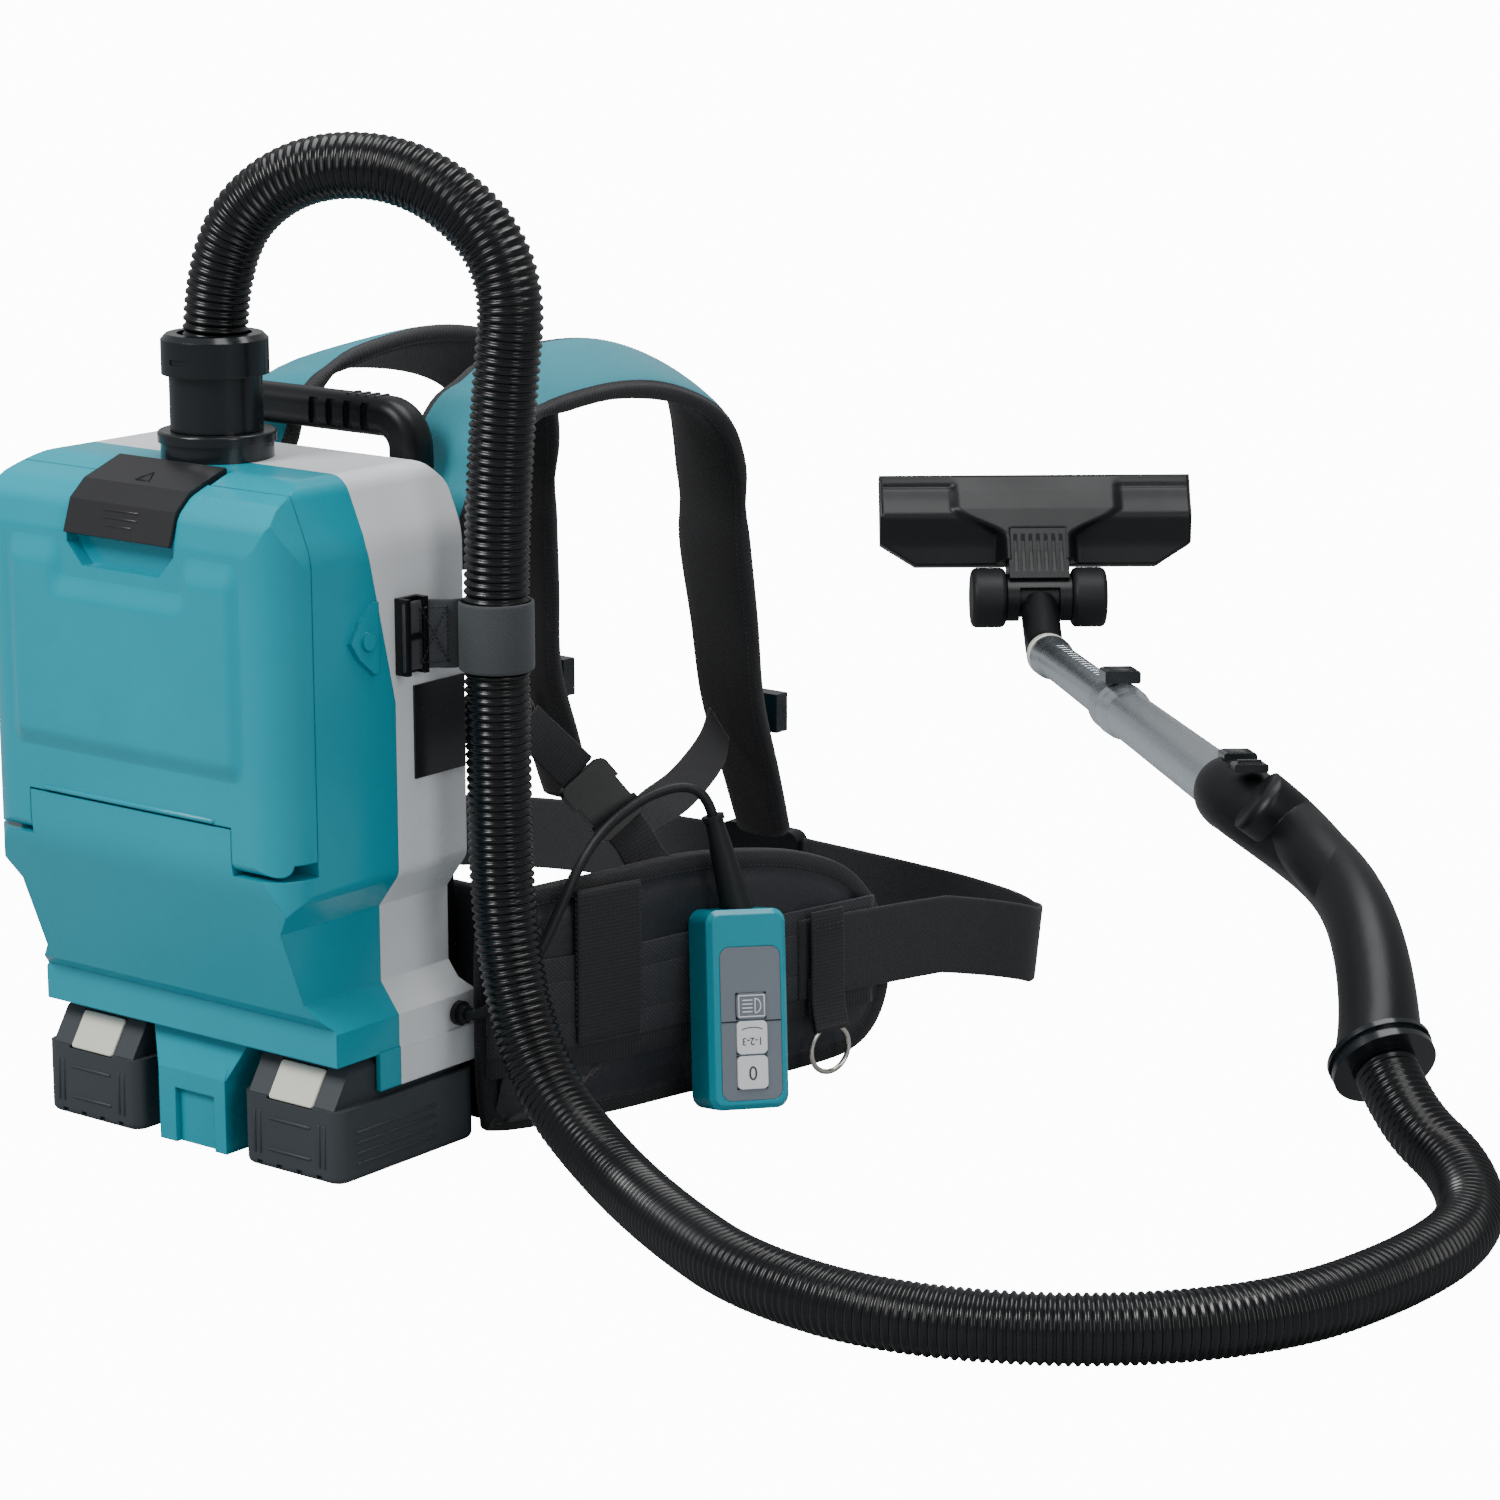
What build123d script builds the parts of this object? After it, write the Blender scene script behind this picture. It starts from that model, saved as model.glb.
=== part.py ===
from build123d import *
import os
from math import cos, sin, tan, acos, radians, degrees

# Cordless backpack vacuum cleaner, in millimetres. +Z is up, the front cover faces -Y and the
# wearer's back goes against the +Y side. The origin is on the ground under the centre column.

os.makedirs("parts", exist_ok=True)

# ---------------------------------------------------------------- driving dimensions
HALF_W = 115.0        # half the width of the housing
TOP_Z = 387.0         # top of the housing
FRONT_Y = -98.0       # front face of the cover
REAR_Y = 48.0         # back of the housing
COVER_Y = -71.0       # seam between the cover and the housing
WALL = 3.0            # housing wall
DECK_Z = 203.0        # deck between dust chamber and motor chamber
SKIRT_Z = 67.0        # lower front edge, over the batteries
EAR_X = 77.0          # inner side of the two cover ears
HINGE_Y, HINGE_Z = -92.0, 186.0
PACK_W, PACK_L = 74.5, 114.0          # battery pack
PACK_X0 = 40.5
PACK_FRONT = -60.0
INLET_X, INLET_Y = 0.0, -22.0
HOSE_D, HOSE_WALL = 36.0, 2.6
CABLE_D = 6.2
TUBE_R, INNER_R = 17.5, 15.5          # telescopic tube, outer and inner
PAD_T = 14.0          # shoulder padding
BELT_T = 16.0         # waist padding
WEB_T = 1.8           # webbing


# ---------------------------------------------------------------- helpers
def fillet_radii(points):
    """Radii that round each corner of a route with 0.45 of its shorter run."""
    pts = [Vector(*p) for p in points]
    out = []
    for a, b, c in zip(pts, pts[1:], pts[2:]):
        u, v = b - a, c - b
        turn = acos(max(-1.0, min(1.0, u.dot(v) / (u.length * v.length))))
        out.append(round(0.45 * min(u.length, v.length) / tan(turn / 2), 1))
    return out


def plane_between(p, q, up=(0, 0, 1)):
    """Plane halfway from p to q: x along the run, z as near to 'up' as it can be."""
    p, q = Vector(*p), Vector(*q)
    x = (q - p).normalized()
    u = Vector(*up)
    z = (u - x * u.dot(x)).normalized()
    return Plane(origin=(p + q) / 2, x_dir=x, z_dir=z)


def strip(p, q, width, thick, up=(0, 0, 1), extra=2.0):
    """A flat run of webbing from p to q in the active part."""
    length = (Vector(*q) - Vector(*p)).length + extra
    with BuildSketch(plane_between(p, q, up).offset(-thick / 2)) as run:
        Rectangle(length, width)
    extrude(run.sketch, amount=thick)


# ---------------------------------------------------------------- housing envelope (construction)
def soften(sketch, corners, t):
    """Round the named corners of a housing view; the inset view is rounded t tighter."""
    for x, y, radius in corners:
        near = sketch.vertices().sort_by_distance((x, y, 0))[0]
        fillet(near, radius - t)


def housing_outline(sketch, t):
    """Front view of the housing, inset by t."""
    right = [(99, TOP_Z), (HALF_W, 350), (HALF_W, 166), (100, 146), (100, 103), (113, 86), (113, SKIRT_Z)]
    Polygon(*right, *[(-x, z) for x, z in reversed(right)], align=None)
    if t:
        offset(amount=-t, kind=Kind.INTERSECTION, mode=Mode.REPLACE)
    for s in (-1, 1):
        soften(sketch, [(s * 99, TOP_Z, 14), (s * HALF_W, 350, 40), (s * HALF_W, 166, 10)], t)


def housing_plan(sketch, t):
    """Plan view of the housing, with well rounded front corners."""
    pts = [(-HALF_W, FRONT_Y), (HALF_W, FRONT_Y), (HALF_W, 62), (-HALF_W, 62)]
    Polygon(*pts, align=None)
    if t:
        offset(amount=-t, kind=Kind.INTERSECTION, mode=Mode.REPLACE)
    for s in (-1, 1):
        soften(sketch, [(s * HALF_W, FRONT_Y, 24)], t)


def housing_side(sketch, t):
    """Side view of the housing: sloped brow, bulging front, tucked-in skirt."""
    pts = [(-57, TOP_Z), (-84, 377), (-94, 368), (FRONT_Y, 352), (FRONT_Y, 178), (-66, 95), (-58, 88),
           (-58, SKIRT_Z), (60, SKIRT_Z), (60, 82), (REAR_Y, 94), (REAR_Y, 374), (36, TOP_Z)]
    Polygon(*pts, align=None)
    if t:
        offset(amount=-t, kind=Kind.INTERSECTION, mode=Mode.REPLACE)
    soften(sketch, [(FRONT_Y, 178, 60), (REAR_Y, 374, 10), (36, TOP_Z, 10)], t)
    soften(sketch, [(-57, TOP_Z, 30), (-84, 377, 16), (-94, 368, 14), (FRONT_Y, 352, 14)], t)


def housing_block(t):
    with BuildSketch(Plane.XZ.offset(-64)) as front_view:
        housing_outline(front_view, t)
    extrude(front_view.sketch, amount=170)
    with BuildSketch(Plane.XY) as plan_view:
        housing_plan(plan_view, t)
    extrude(plan_view.sketch, amount=400, mode=Mode.INTERSECT)
    with BuildSketch(Plane.YZ.offset(-130)) as side_view:
        housing_side(side_view, t)
    extrude(side_view.sketch, amount=260, mode=Mode.INTERSECT)


with BuildPart() as envelope:
    housing_block(0)

with BuildPart() as hollow:
    housing_block(WALL)
    with Locations((0, 0, DECK_Z - WALL / 2)):
        Box(300, 300, WALL, mode=Mode.SUBTRACT)
    # the pockets that the cover ears drop into keep a wall behind them
    for s in (-1, 1):
        with Locations((s * (EAR_X - 3.4 + 30), -120, 190)):
            Box(60, 2 * (120 - 68), 2 * (190 - 174), mode=Mode.SUBTRACT)

# region taken by the front cover
with BuildPart() as cover_zone:
    with BuildSketch(Plane.YZ.offset(-130)):
        Polygon((-130, DECK_Z), (COVER_Y, DECK_Z), (COVER_Y, 420), (-130, 420), align=None)
    extrude(amount=260)
    for s in (-1, 1):
        with Locations((s * (EAR_X + 30), -100.5, 190.5)):
            Box(60, 59, 26)


def seam_front(gap):
    """Everything in front of the seam between the two housing halves."""
    Polygon((-130, -10), (-8 - gap, -10), (-8 - gap, 262), (-28 - gap, 350), (-28 - gap, 420),
            (-130, 420), align=None)


# ---------------------------------------------------------------- front housing
with BuildPart() as front_housing:
    add(envelope.part)
    # skirt over the flanks of the batteries
    for s in (-1, 1):
        with Locations((s * 112.4, -18.5 + 4, 57)):
            Box(3.0, 21, 22)
        with Locations((s * 97, -18.5 + 4, SKIRT_Z + 6)):
            Box(28, 21, 12)
    # centre column between the batteries, with its bevelled brow
    with BuildSketch(Plane.YZ.offset(-26)):
        Polygon((-57, 0), (-57, 43), (-46, 68), (-46, 90), (-9, 90), (-9, 0), align=None)
    extrude(amount=52)
    with BuildSketch(Plane.XY.offset(42)):
        Polygon((-26, -57), (26, -57), (26, -20), (-26, -20), align=None)
    with BuildSketch(Plane.XY.offset(SKIRT_Z + 0.5)):
        Polygon((-38.5, -47), (38.5, -47), (38.5, -20), (-38.5, -20), align=None)
    loft()
    add(hollow.part, mode=Mode.SUBTRACT)
    add(cover_zone.part, mode=Mode.SUBTRACT)
    with BuildSketch(Plane.YZ.offset(-130)):
        seam_front(0)
    extrude(amount=260, mode=Mode.INTERSECT)
    # pocket in the column, open at its foot
    with Locations((2, -57, 14)):
        Box(30, 7, 36, mode=Mode.SUBTRACT)
    # column is hollow above its foot
    with Locations((0, -28, 50)):
        Box(44, 32, 88, mode=Mode.SUBTRACT)
    # throat for the inlet socket
    with BuildSketch(Plane.XY.offset(370)):
        with Locations((INLET_X, INLET_Y)):
            Circle(24)
    extrude(amount=30, mode=Mode.SUBTRACT)
    # recess in the brow for the back of the latch
    with BuildPart(mode=Mode.PRIVATE) as tray:
        add(envelope.part)
        with Locations((0, -60, 380)):
            Box(92, 22, 14, mode=Mode.INTERSECT)
    add(tray.part)
    with Locations((0, -62, 383)):
        Box(86, 20, 14, mode=Mode.SUBTRACT)
    # holes for the cover's hinge pins
    with BuildSketch(Plane.YZ.offset(-EAR_X - 1)):
        with Locations((HINGE_Y, HINGE_Z)):
            Circle(2.55)
    extrude(amount=2 * EAR_X + 2, mode=Mode.SUBTRACT)
    # side lug with a round boss, beside the hose strap
    with BuildSketch(Plane.YZ.offset(HALF_W - 0.5)):
        Polygon((-45, 300), (-38, 311), (-27, 320), (-23, 320), (-23, 281), (-27, 281), (-38, 290),
                align=None)
    extrude(amount=3.5)
    with BuildSketch(Plane.YZ.offset(HALF_W)):
        with Locations((-32, 300)):
            Circle(5.2)
    extrude(amount=5)
front_housing.part.label = "front_housing"
export_step(front_housing.part, "parts/front_housing.step")

# ---------------------------------------------------------------- rear housing
with BuildPart() as rear_housing:
    add(envelope.part)
    # flank over the batteries, down to their shoulder line
    with Locations((0, 26, 56.5)):
        Box(2 * 113.9, 68, 21)
    with Locations((0, 25, 54)):
        Box(2 * 110.9, 68, 26, mode=Mode.SUBTRACT)
    # rear half of the centre column
    with Locations((0, 21, 44)):
        Box(52, 60, 88)
    with Locations((0, 20, 45)):
        Box(44, 54, 84, mode=Mode.SUBTRACT)
    add(hollow.part, mode=Mode.SUBTRACT)
    with BuildSketch(Plane.YZ.offset(-130)):
        seam_front(-0.0)
    extrude(amount=260, mode=Mode.SUBTRACT)
    with BuildSketch(Plane.XY.offset(370)):
        with Locations((INLET_X, INLET_Y)):
            Circle(24)
    extrude(amount=30, mode=Mode.SUBTRACT)
    # louvres for the exhaust air, on the left flank
    for i in range(6):
        with Locations((-HALF_W, 20, 196 + 9 * i)):
            Box(12, 34, 3.2, mode=Mode.SUBTRACT)
rear_housing.part.label = "rear_housing"
export_step(rear_housing.part, "parts/rear_housing.step")

# ---------------------------------------------------------------- front cover
with BuildPart() as cover_solid:
    add(envelope.part)
    with BuildSketch(Plane.YZ.offset(-130)):
        Polygon((-130, DECK_Z + 1.1), (COVER_Y - 0.4, DECK_Z + 1.1), (COVER_Y - 0.4, 420), (-130, 420),
                align=None)
    extrude(amount=260, mode=Mode.INTERSECT)

with BuildPart() as ear_solid:
    add(envelope.part)
    with BuildSketch(Plane.YZ.offset(-130)):
        Polygon((-98, HINGE_Z), (COVER_Y - 0.4, HINGE_Z), (COVER_Y - 0.4, 215), (-98, 215), align=None)
        with Locations((HINGE_Y, HINGE_Z)):
            Circle(6)
    extrude(amount=260, mode=Mode.INTERSECT)
    with Locations((0, -85, 195)):
        Box(2 * (EAR_X + 0.4), 60, 60, mode=Mode.SUBTRACT)

with BuildPart() as front_cover:
    add(cover_solid.part)
    add(hollow.part, mode=Mode.SUBTRACT)
    add(ear_solid.part)
    # thick brow behind the latch and its finger recess
    with BuildPart(mode=Mode.PRIVATE) as brow:
        add(cover_solid.part)
        with Locations((0, -86, 356)):
            Box(92, 32, 60, mode=Mode.INTERSECT)
    add(brow.part)
    # finger recess under the latch
    with BuildSketch(Plane.XZ.offset(90)):
        Polygon((-41, 372), (41, 372), (40.4, 346), (29, 334), (-29, 334), (-40.4, 346), align=None)
    extrude(amount=20, mode=Mode.SUBTRACT)
    with Locations((0, -88, 369)):
        Box(82, 9, 12, mode=Mode.SUBTRACT)
    # seat for the latch across the brow
    with Locations((0, -84, 384)):
        Box(82, 34, 22, mode=Mode.SUBTRACT)
    # trunnion holes of the latch
    with BuildSketch(Plane.YZ.offset(-44.5)):
        with Locations((-77, 374.8)):
            Circle(1.65)
    extrude(amount=89, mode=Mode.SUBTRACT)
    # hinge pins on the ears
    for x0 in (-EAR_X - 2, EAR_X - 3):
        with BuildSketch(Plane.YZ.offset(x0)):
            with Locations((HINGE_Y, HINGE_Z)):
                Circle(2.5)
        extrude(amount=5)
front_cover.part.label = "front_cover"
export_step(front_cover.part, "parts/front_cover.step")

# ---------------------------------------------------------------- cover latch
with BuildPart() as cover_latch:
    with BuildSketch(Plane.YZ.offset(-40)):
        Polygon((-55.5, 388), (-57, 389), (-84, 379.5), (-95, 370), (-101, 352), (-98.6, 351),
                (-93, 366.5), (-84, 374.5), (-71, 379.2), (-56, 384.5), align=None)
    extrude(amount=80)
    # cheeks that carry the trunnions
    for x0 in (-40, 37):
        with BuildSketch(Plane.YZ.offset(x0)):
            Polygon((-82, 375.5), (-72, 379.5), (-74.8, 374), (-79.2, 374), align=None)
        extrude(amount=3)
    for x0 in (-43.5, 37):
        with BuildSketch(Plane.YZ.offset(x0)):
            with Locations((-77, 374.8)):
                Circle(1.6)
        extrude(amount=6.5)
cover_latch.part.label = "cover_latch"
export_step(cover_latch.part, "parts/cover_latch.step")

# ---------------------------------------------------------------- hose inlet
with BuildPart() as inlet_socket:
    with BuildSketch(Plane.XY.offset(TOP_Z)):
        with Locations((INLET_X, INLET_Y)):
            Circle(31)
    extrude(amount=9)
    with BuildSketch(Plane.XY.offset(TOP_Z + 9)):
        with Locations((INLET_X, INLET_Y)):
            Circle(32.5)
    extrude(amount=6)
    fillet(inlet_socket.edges().group_by(Axis.Z)[-1], 1.5)
    with BuildSketch(Plane.XY.offset(345)):
        with Locations((INLET_X, INLET_Y)):
            Circle(23.95)
    extrude(amount=TOP_Z - 345 + 2)
    with BuildSketch(Plane.XY.offset(340)):
        with Locations((INLET_X, INLET_Y)):
            Circle(21)
    extrude(amount=70, mode=Mode.SUBTRACT)
inlet_socket.part.label = "inlet_socket"
export_step(inlet_socket.part, "parts/inlet_socket.step")

with BuildPart() as hose_cuff:
    for z0, r, h in ((372, 20.94, 32), (402.3, 25.5, 33), (433, 29.5, 22)):
        with BuildSketch(Plane.XY.offset(z0)):
            with Locations((INLET_X, INLET_Y)):
                Circle(r)
        extrude(amount=h)
    chamfer(hose_cuff.edges().group_by(Axis.Z)[-1], 3)
    with BuildSketch(Plane.XY.offset(360)):
        with Locations((INLET_X, INLET_Y)):
            Circle(15)
    extrude(amount=110, mode=Mode.SUBTRACT)
    with BuildSketch(Plane.XY.offset(435)):
        with Locations((INLET_X, INLET_Y)):
            Circle(20.5)
    extrude(amount=30, mode=Mode.SUBTRACT)
    with Locations((INLET_X, INLET_Y - 29.5, 441)):
        Box(11, 2.4, 3.2, mode=Mode.SUBTRACT)
hose_cuff.part.label = "hose_cuff"
export_step(hose_cuff.part, "parts/hose_cuff.step")

# ---------------------------------------------------------------- dust chamber
with BuildPart() as dust_bag:
    with BuildSketch(Plane.XY.offset(250)):
        with Locations((0, -18)):
            RectangleRounded(176, 78, 24)
    extrude(amount=76)
    fillet(dust_bag.edges().group_by(Axis.Z)[0], 14)
    fillet(dust_bag.edges().group_by(Axis.Z)[-1], 14)
    with BuildSketch(Plane.XY.offset(322)):
        with Locations((INLET_X, INLET_Y)):
            Circle(27)
    extrude(amount=22.9)
    with BuildSketch(Plane.XY.offset(300)):
        with Locations((INLET_X, INLET_Y)):
            Circle(19)
    extrude(amount=60, mode=Mode.SUBTRACT)
dust_bag.part.label = "dust_bag"
export_step(dust_bag.part, "parts/dust_bag.step")

with BuildPart() as hepa_filter:
    with BuildSketch(Plane.XY.offset(DECK_Z)):
        with Locations((0, -18)):
            RectangleRounded(150, 76, 8)
    extrude(amount=40)
    for i in range(22):
        with Locations((-68 + 6.5 * i, -18, DECK_Z + 40)):
            Box(2.4, 62, 44, mode=Mode.SUBTRACT)
hepa_filter.part.label = "hepa_filter"
export_step(hepa_filter.part, "parts/hepa_filter.step")

# ---------------------------------------------------------------- motor and fan
MOTOR_X, MOTOR_Y = 0.0, -12.0
with BuildPart() as motor:
    for z0, r, h in ((106, 34, 46), (152, 44, 3)):
        with BuildSketch(Plane.XY.offset(z0)):
            with Locations((MOTOR_X, MOTOR_Y)):
                Circle(r)
        extrude(amount=h)
    # shaft that carries the fan
    with BuildSketch(Plane.XY.offset(154)):
        with Locations((MOTOR_X, MOTOR_Y)):
            Circle(3)
    extrude(amount=24)
    # mounting feet to the housing's floor
    for a in (45, 135, 225, 315):
        with Locations((MOTOR_X + 36 * cos(radians(a)), MOTOR_Y + 36 * sin(radians(a)), 88)):
            Box(9, 9, 36)
motor.part.label = "motor"
export_step(motor.part, "parts/motor.step")

with BuildPart() as fan_impeller:
    with BuildSketch(Plane.XY.offset(158)):
        with Locations((MOTOR_X, MOTOR_Y)):
            Circle(38)
    extrude(amount=2)
    for i in range(9):
        with BuildSketch(Plane.XY.offset(159)):
            with Locations(Location((MOTOR_X, MOTOR_Y), 40 * i)):
                with Locations(Location((22, 0), 35)):
                    Rectangle(28, 1.8)
        extrude(amount=10)
    with BuildSketch(Plane.XY.offset(158)):
        with Locations((MOTOR_X, MOTOR_Y)):
            Circle(9)
    extrude(amount=14)
    with BuildSketch(Plane.XY.offset(150)):
        with Locations((MOTOR_X, MOTOR_Y)):
            Circle(3.05)
    extrude(amount=40, mode=Mode.SUBTRACT)
fan_impeller.part.label = "fan_impeller"
export_step(fan_impeller.part, "parts/fan_impeller.step")

with BuildPart() as control_board:
    with Locations((0, REAR_Y - WALL - 4, 125)):
        Box(120, 1.6, 46)
    for x, z, w, h, d in ((-40, 128, 18, 22, 7), (-12, 120, 14, 14, 5), (20, 132, 26, 12, 6), (46, 118, 10, 20, 8)):
        with Locations((x, REAR_Y - WALL - 4.8 - d / 2, z)):
            Box(w, d, h)
    # stand-offs to the back wall
    for x in (-54, 54):
        with Locations((x, REAR_Y - WALL - 1.6, 125)):
            Box(6, 3.2, 6)
control_board.part.label = "control_board"
export_step(control_board.part, "parts/control_board.step")

# ---------------------------------------------------------------- batteries
pack_mid = PACK_X0 + PACK_W / 2
with BuildPart() as battery_right:
    # lower case
    with BuildSketch(Plane.XY):
        with Locations((pack_mid, PACK_FRONT + PACK_L / 2)):
            RectangleRounded(PACK_W, PACK_L, 9)
    extrude(amount=42)
    fillet(battery_right.edges().group_by(Axis.Z)[0], 4)
    # sloped upper case with the slide rails
    with BuildSketch(Plane.YZ.offset(PACK_X0 + 5)):
        Polygon((-58.5, 41), (-43, 65.5), (44, 65.5), (44, 41), align=None)
    extrude(amount=PACK_W - 10.5)
    upper = battery_right.edges().filter_by_position(Axis.Z, 60, 66).filter_by(Axis.Y)
    chamfer(upper, 5)
    # seat of the latch button in the slope
    with BuildSketch(Plane(origin=(pack_mid, -52.5, 50.5), x_dir=(1, 0, 0), z_dir=(0, -0.845, 0.534)).offset(6)):
        Rectangle(34, 24.4)
    extrude(amount=-10.6, mode=Mode.SUBTRACT)
    # drain notches along the lower front edge
    for i in range(4):
        with Locations((PACK_X0 + 14 + 15 * i, PACK_FRONT + 0.6, 3)):
            Box(4, 3, 2.2, mode=Mode.SUBTRACT)
battery_right.part.label = "battery_right"
export_step(battery_right.part, "parts/battery_right.step")

with BuildPart() as battery_left:
    add(mirror(battery_right.part, about=Plane.YZ))
battery_left.part.label = "battery_left"
export_step(battery_left.part, "parts/battery_left.step")

with BuildPart() as battery_button_right:
    with BuildSketch(Plane(origin=(pack_mid, -52.5, 50.5), x_dir=(1, 0, 0), z_dir=(0, -0.845, 0.534)).offset(-1.6)):
        RectangleRounded(33, 23, 2)
    extrude(amount=2.8)
    fillet(battery_button_right.faces().sort_by(Axis((0, 0, 0), (0, -0.845, 0.534)))[-1].edges(), 1.0)
battery_button_right.part.label = "battery_button_right"
export_step(battery_button_right.part, "parts/battery_button_right.step")

with BuildPart() as battery_button_left:
    add(mirror(battery_button_right.part, about=Plane.YZ))
battery_button_left.part.label = "battery_button_left"
export_step(battery_button_left.part, "parts/battery_button_left.step")

with BuildPart() as battery_terminals:
    for s in (-1, 1):
        with Locations((s * pack_mid, 52.5, 58)):
            Box(46, 8, 18)
battery_terminals.part.label = "battery_terminals"
export_step(battery_terminals.part, "parts/battery_terminals.step")

# ---------------------------------------------------------------- back frame and carry handle
with BuildPart() as back_plate:
    with BuildSketch(Plane.XZ.offset(-REAR_Y - 10)):
        Polygon((-96, 97), (96, 97), (96, 330), (84, 352), (-84, 352), (-96, 330), align=None)
        with Locations((0, 180)):
            RectangleRounded(60, 90, 12, mode=Mode.SUBTRACT)
    extrude(amount=10)
    # two uprights that take the feet of the carry handle
    for s in (-1, 1):
        with Locations((s * 68, REAR_Y + 5, 362)):
            Box(26, 10, 24)
back_plate.part.label = "back_plate"
export_step(back_plate.part, "parts/back_plate.step")

with BuildPart() as carry_handle:
    with BuildLine():
        grip = FilletPolyline((-68, REAR_Y + 12, 374), (-68, REAR_Y + 12, 404), (68, REAR_Y + 12, 404),
                       (68, REAR_Y + 12, 374), radius=17)
    with BuildSketch(Plane(origin=grip @ 0, x_dir=(1, 0, 0), z_dir=(0, 0, 1))):
        RectangleRounded(22, 22, 8)
    sweep()
    for i in range(4):
        with Locations((4 + 13 * i, REAR_Y + 1.5, 404)):
            Box(6, 4, 15, mode=Mode.SUBTRACT)
carry_handle.part.label = "carry_handle"
export_step(carry_handle.part, "parts/carry_handle.step")

with BuildPart() as back_pad:
    with BuildSketch(Plane.XZ.offset(-REAR_Y - 10.4)):
        with Locations((0, 232)):
            RectangleRounded(170, 170, 24)
    extrude(amount=-16)
    fillet(back_pad.faces().sort_by(Axis.Y)[-1].edges(), 6)
back_pad.part.label = "back_pad"
export_step(back_pad.part, "parts/back_pad.step")

# ---------------------------------------------------------------- hose strap on the right flank
HOSE_X, HOSE_Y = 154.0, 31.0
with BuildPart() as hose_bracket:
    with Locations((HALF_W + 1.5, 1, 298)):
        Box(3, 17, 42)
    for y in (-6, 8):
        with Locations((HALF_W + 5, y, 298)):
            Box(8, 3.4, 42)
    with Locations((HALF_W + 7.5, 1, 298)):
        Box(2.4, 12, 3)
hose_bracket.part.label = "hose_bracket"
export_step(hose_bracket.part, "parts/hose_bracket.step")

with BuildPart() as hose_strap:
    with BuildSketch(Plane.XY.offset(279)):
        with Locations((HOSE_X, HOSE_Y)):
            Circle(HOSE_D / 2 + 2.6)
            Circle(HOSE_D / 2 + 0.6, mode=Mode.SUBTRACT)
        with BuildLine():
            Polyline((HALF_W + 4, 10.2), (HALF_W + 4, 12.2), (HALF_W + 21, 24), (HALF_W + 22.6, 22.4),
                     (HALF_W + 9.5, 10.2), close=True)
        make_face()
    extrude(amount=38)
hose_strap.part.label = "hose_strap"
export_step(hose_strap.part, "parts/hose_strap.step")

with BuildPart() as side_badge:
    with BuildSketch(Plane.YZ.offset(HALF_W)):
        Polygon((6, 217), (48 - 1, 217), (47, 269), (6, 269), align=None)
    extrude(amount=1.2)
side_badge.part.label = "side_badge"
export_step(side_badge.part, "parts/side_badge.step")

# ---------------------------------------------------------------- suction hose
HOSE_ROUTE = [
    (0, -22, 435), (0, -22, 500), (45, -6, 547), (115, 18, 548), (167, 36, 500), (159, 32.6, 420),
    (154, 31, 340), (154, 31, 232), (156, 31, 123), (185, 27, 51), (244, 13, 18.2), (331, -39, 18.2),
    (407, -74, 18.2), (496, -78, 18.2), (586, -32, 18.2), (647, 43, 18.2), (664, 138, 18.2),
    (658, 217, 19), (625, 262, 30), (584, 275, 46), (560, 293, 66)]
hose_radii = fillet_radii(HOSE_ROUTE)
print("suction hose radii", hose_radii)
with BuildPart() as suction_hose:
    with BuildLine():
        hose_line = FilletPolyline(*HOSE_ROUTE, radius=hose_radii)
    with BuildSketch(Plane(origin=hose_line @ 0, z_dir=hose_line % 0)):
        Circle(HOSE_D / 2)
    sweep()
print("suction hose length", round(hose_line.length, 1),
      "volume", round(suction_hose.part.volume, 0))
suction_hose.part.label = "suction_hose"
export_step(suction_hose.part, "parts/suction_hose.step")

# ---------------------------------------------------------------- wand
MOUTH = Vector(347, 482, 151)             # where the tube enters the handle
TUBE_END = Vector(-314.6, 1279, 20.5)     # far end of the inner tube, resting near the ground
wand = (TUBE_END - MOUTH).normalized()
side = wand.cross(Vector(0, 0, 1)).normalized()
tube_length = (TUBE_END - MOUTH).length
outer_length = 590.0
print("wand tube length", round(tube_length, 1))


def across(origin, direction):
    """Plane across a run, with x level and z along it."""
    d = Vector(*direction).normalized()
    return Plane(origin=Vector(*origin), x_dir=d.cross(Vector(0, 0, 1)), z_dir=d)


def wand_plane(s):
    """Plane across the wand, s beyond the mouth: x to the left, y up, z forward."""
    return Plane(origin=MOUTH + wand * s, x_dir=side * -1, z_dir=wand)


HANDLE_SPINE = [(422, 423, 147), (489, 376, 131), (526, 337, 108)]
RING_CENTRE = Vector(560, 293, 66)
ring_dir = Vector(24, -18, -20).normalized()

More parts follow.
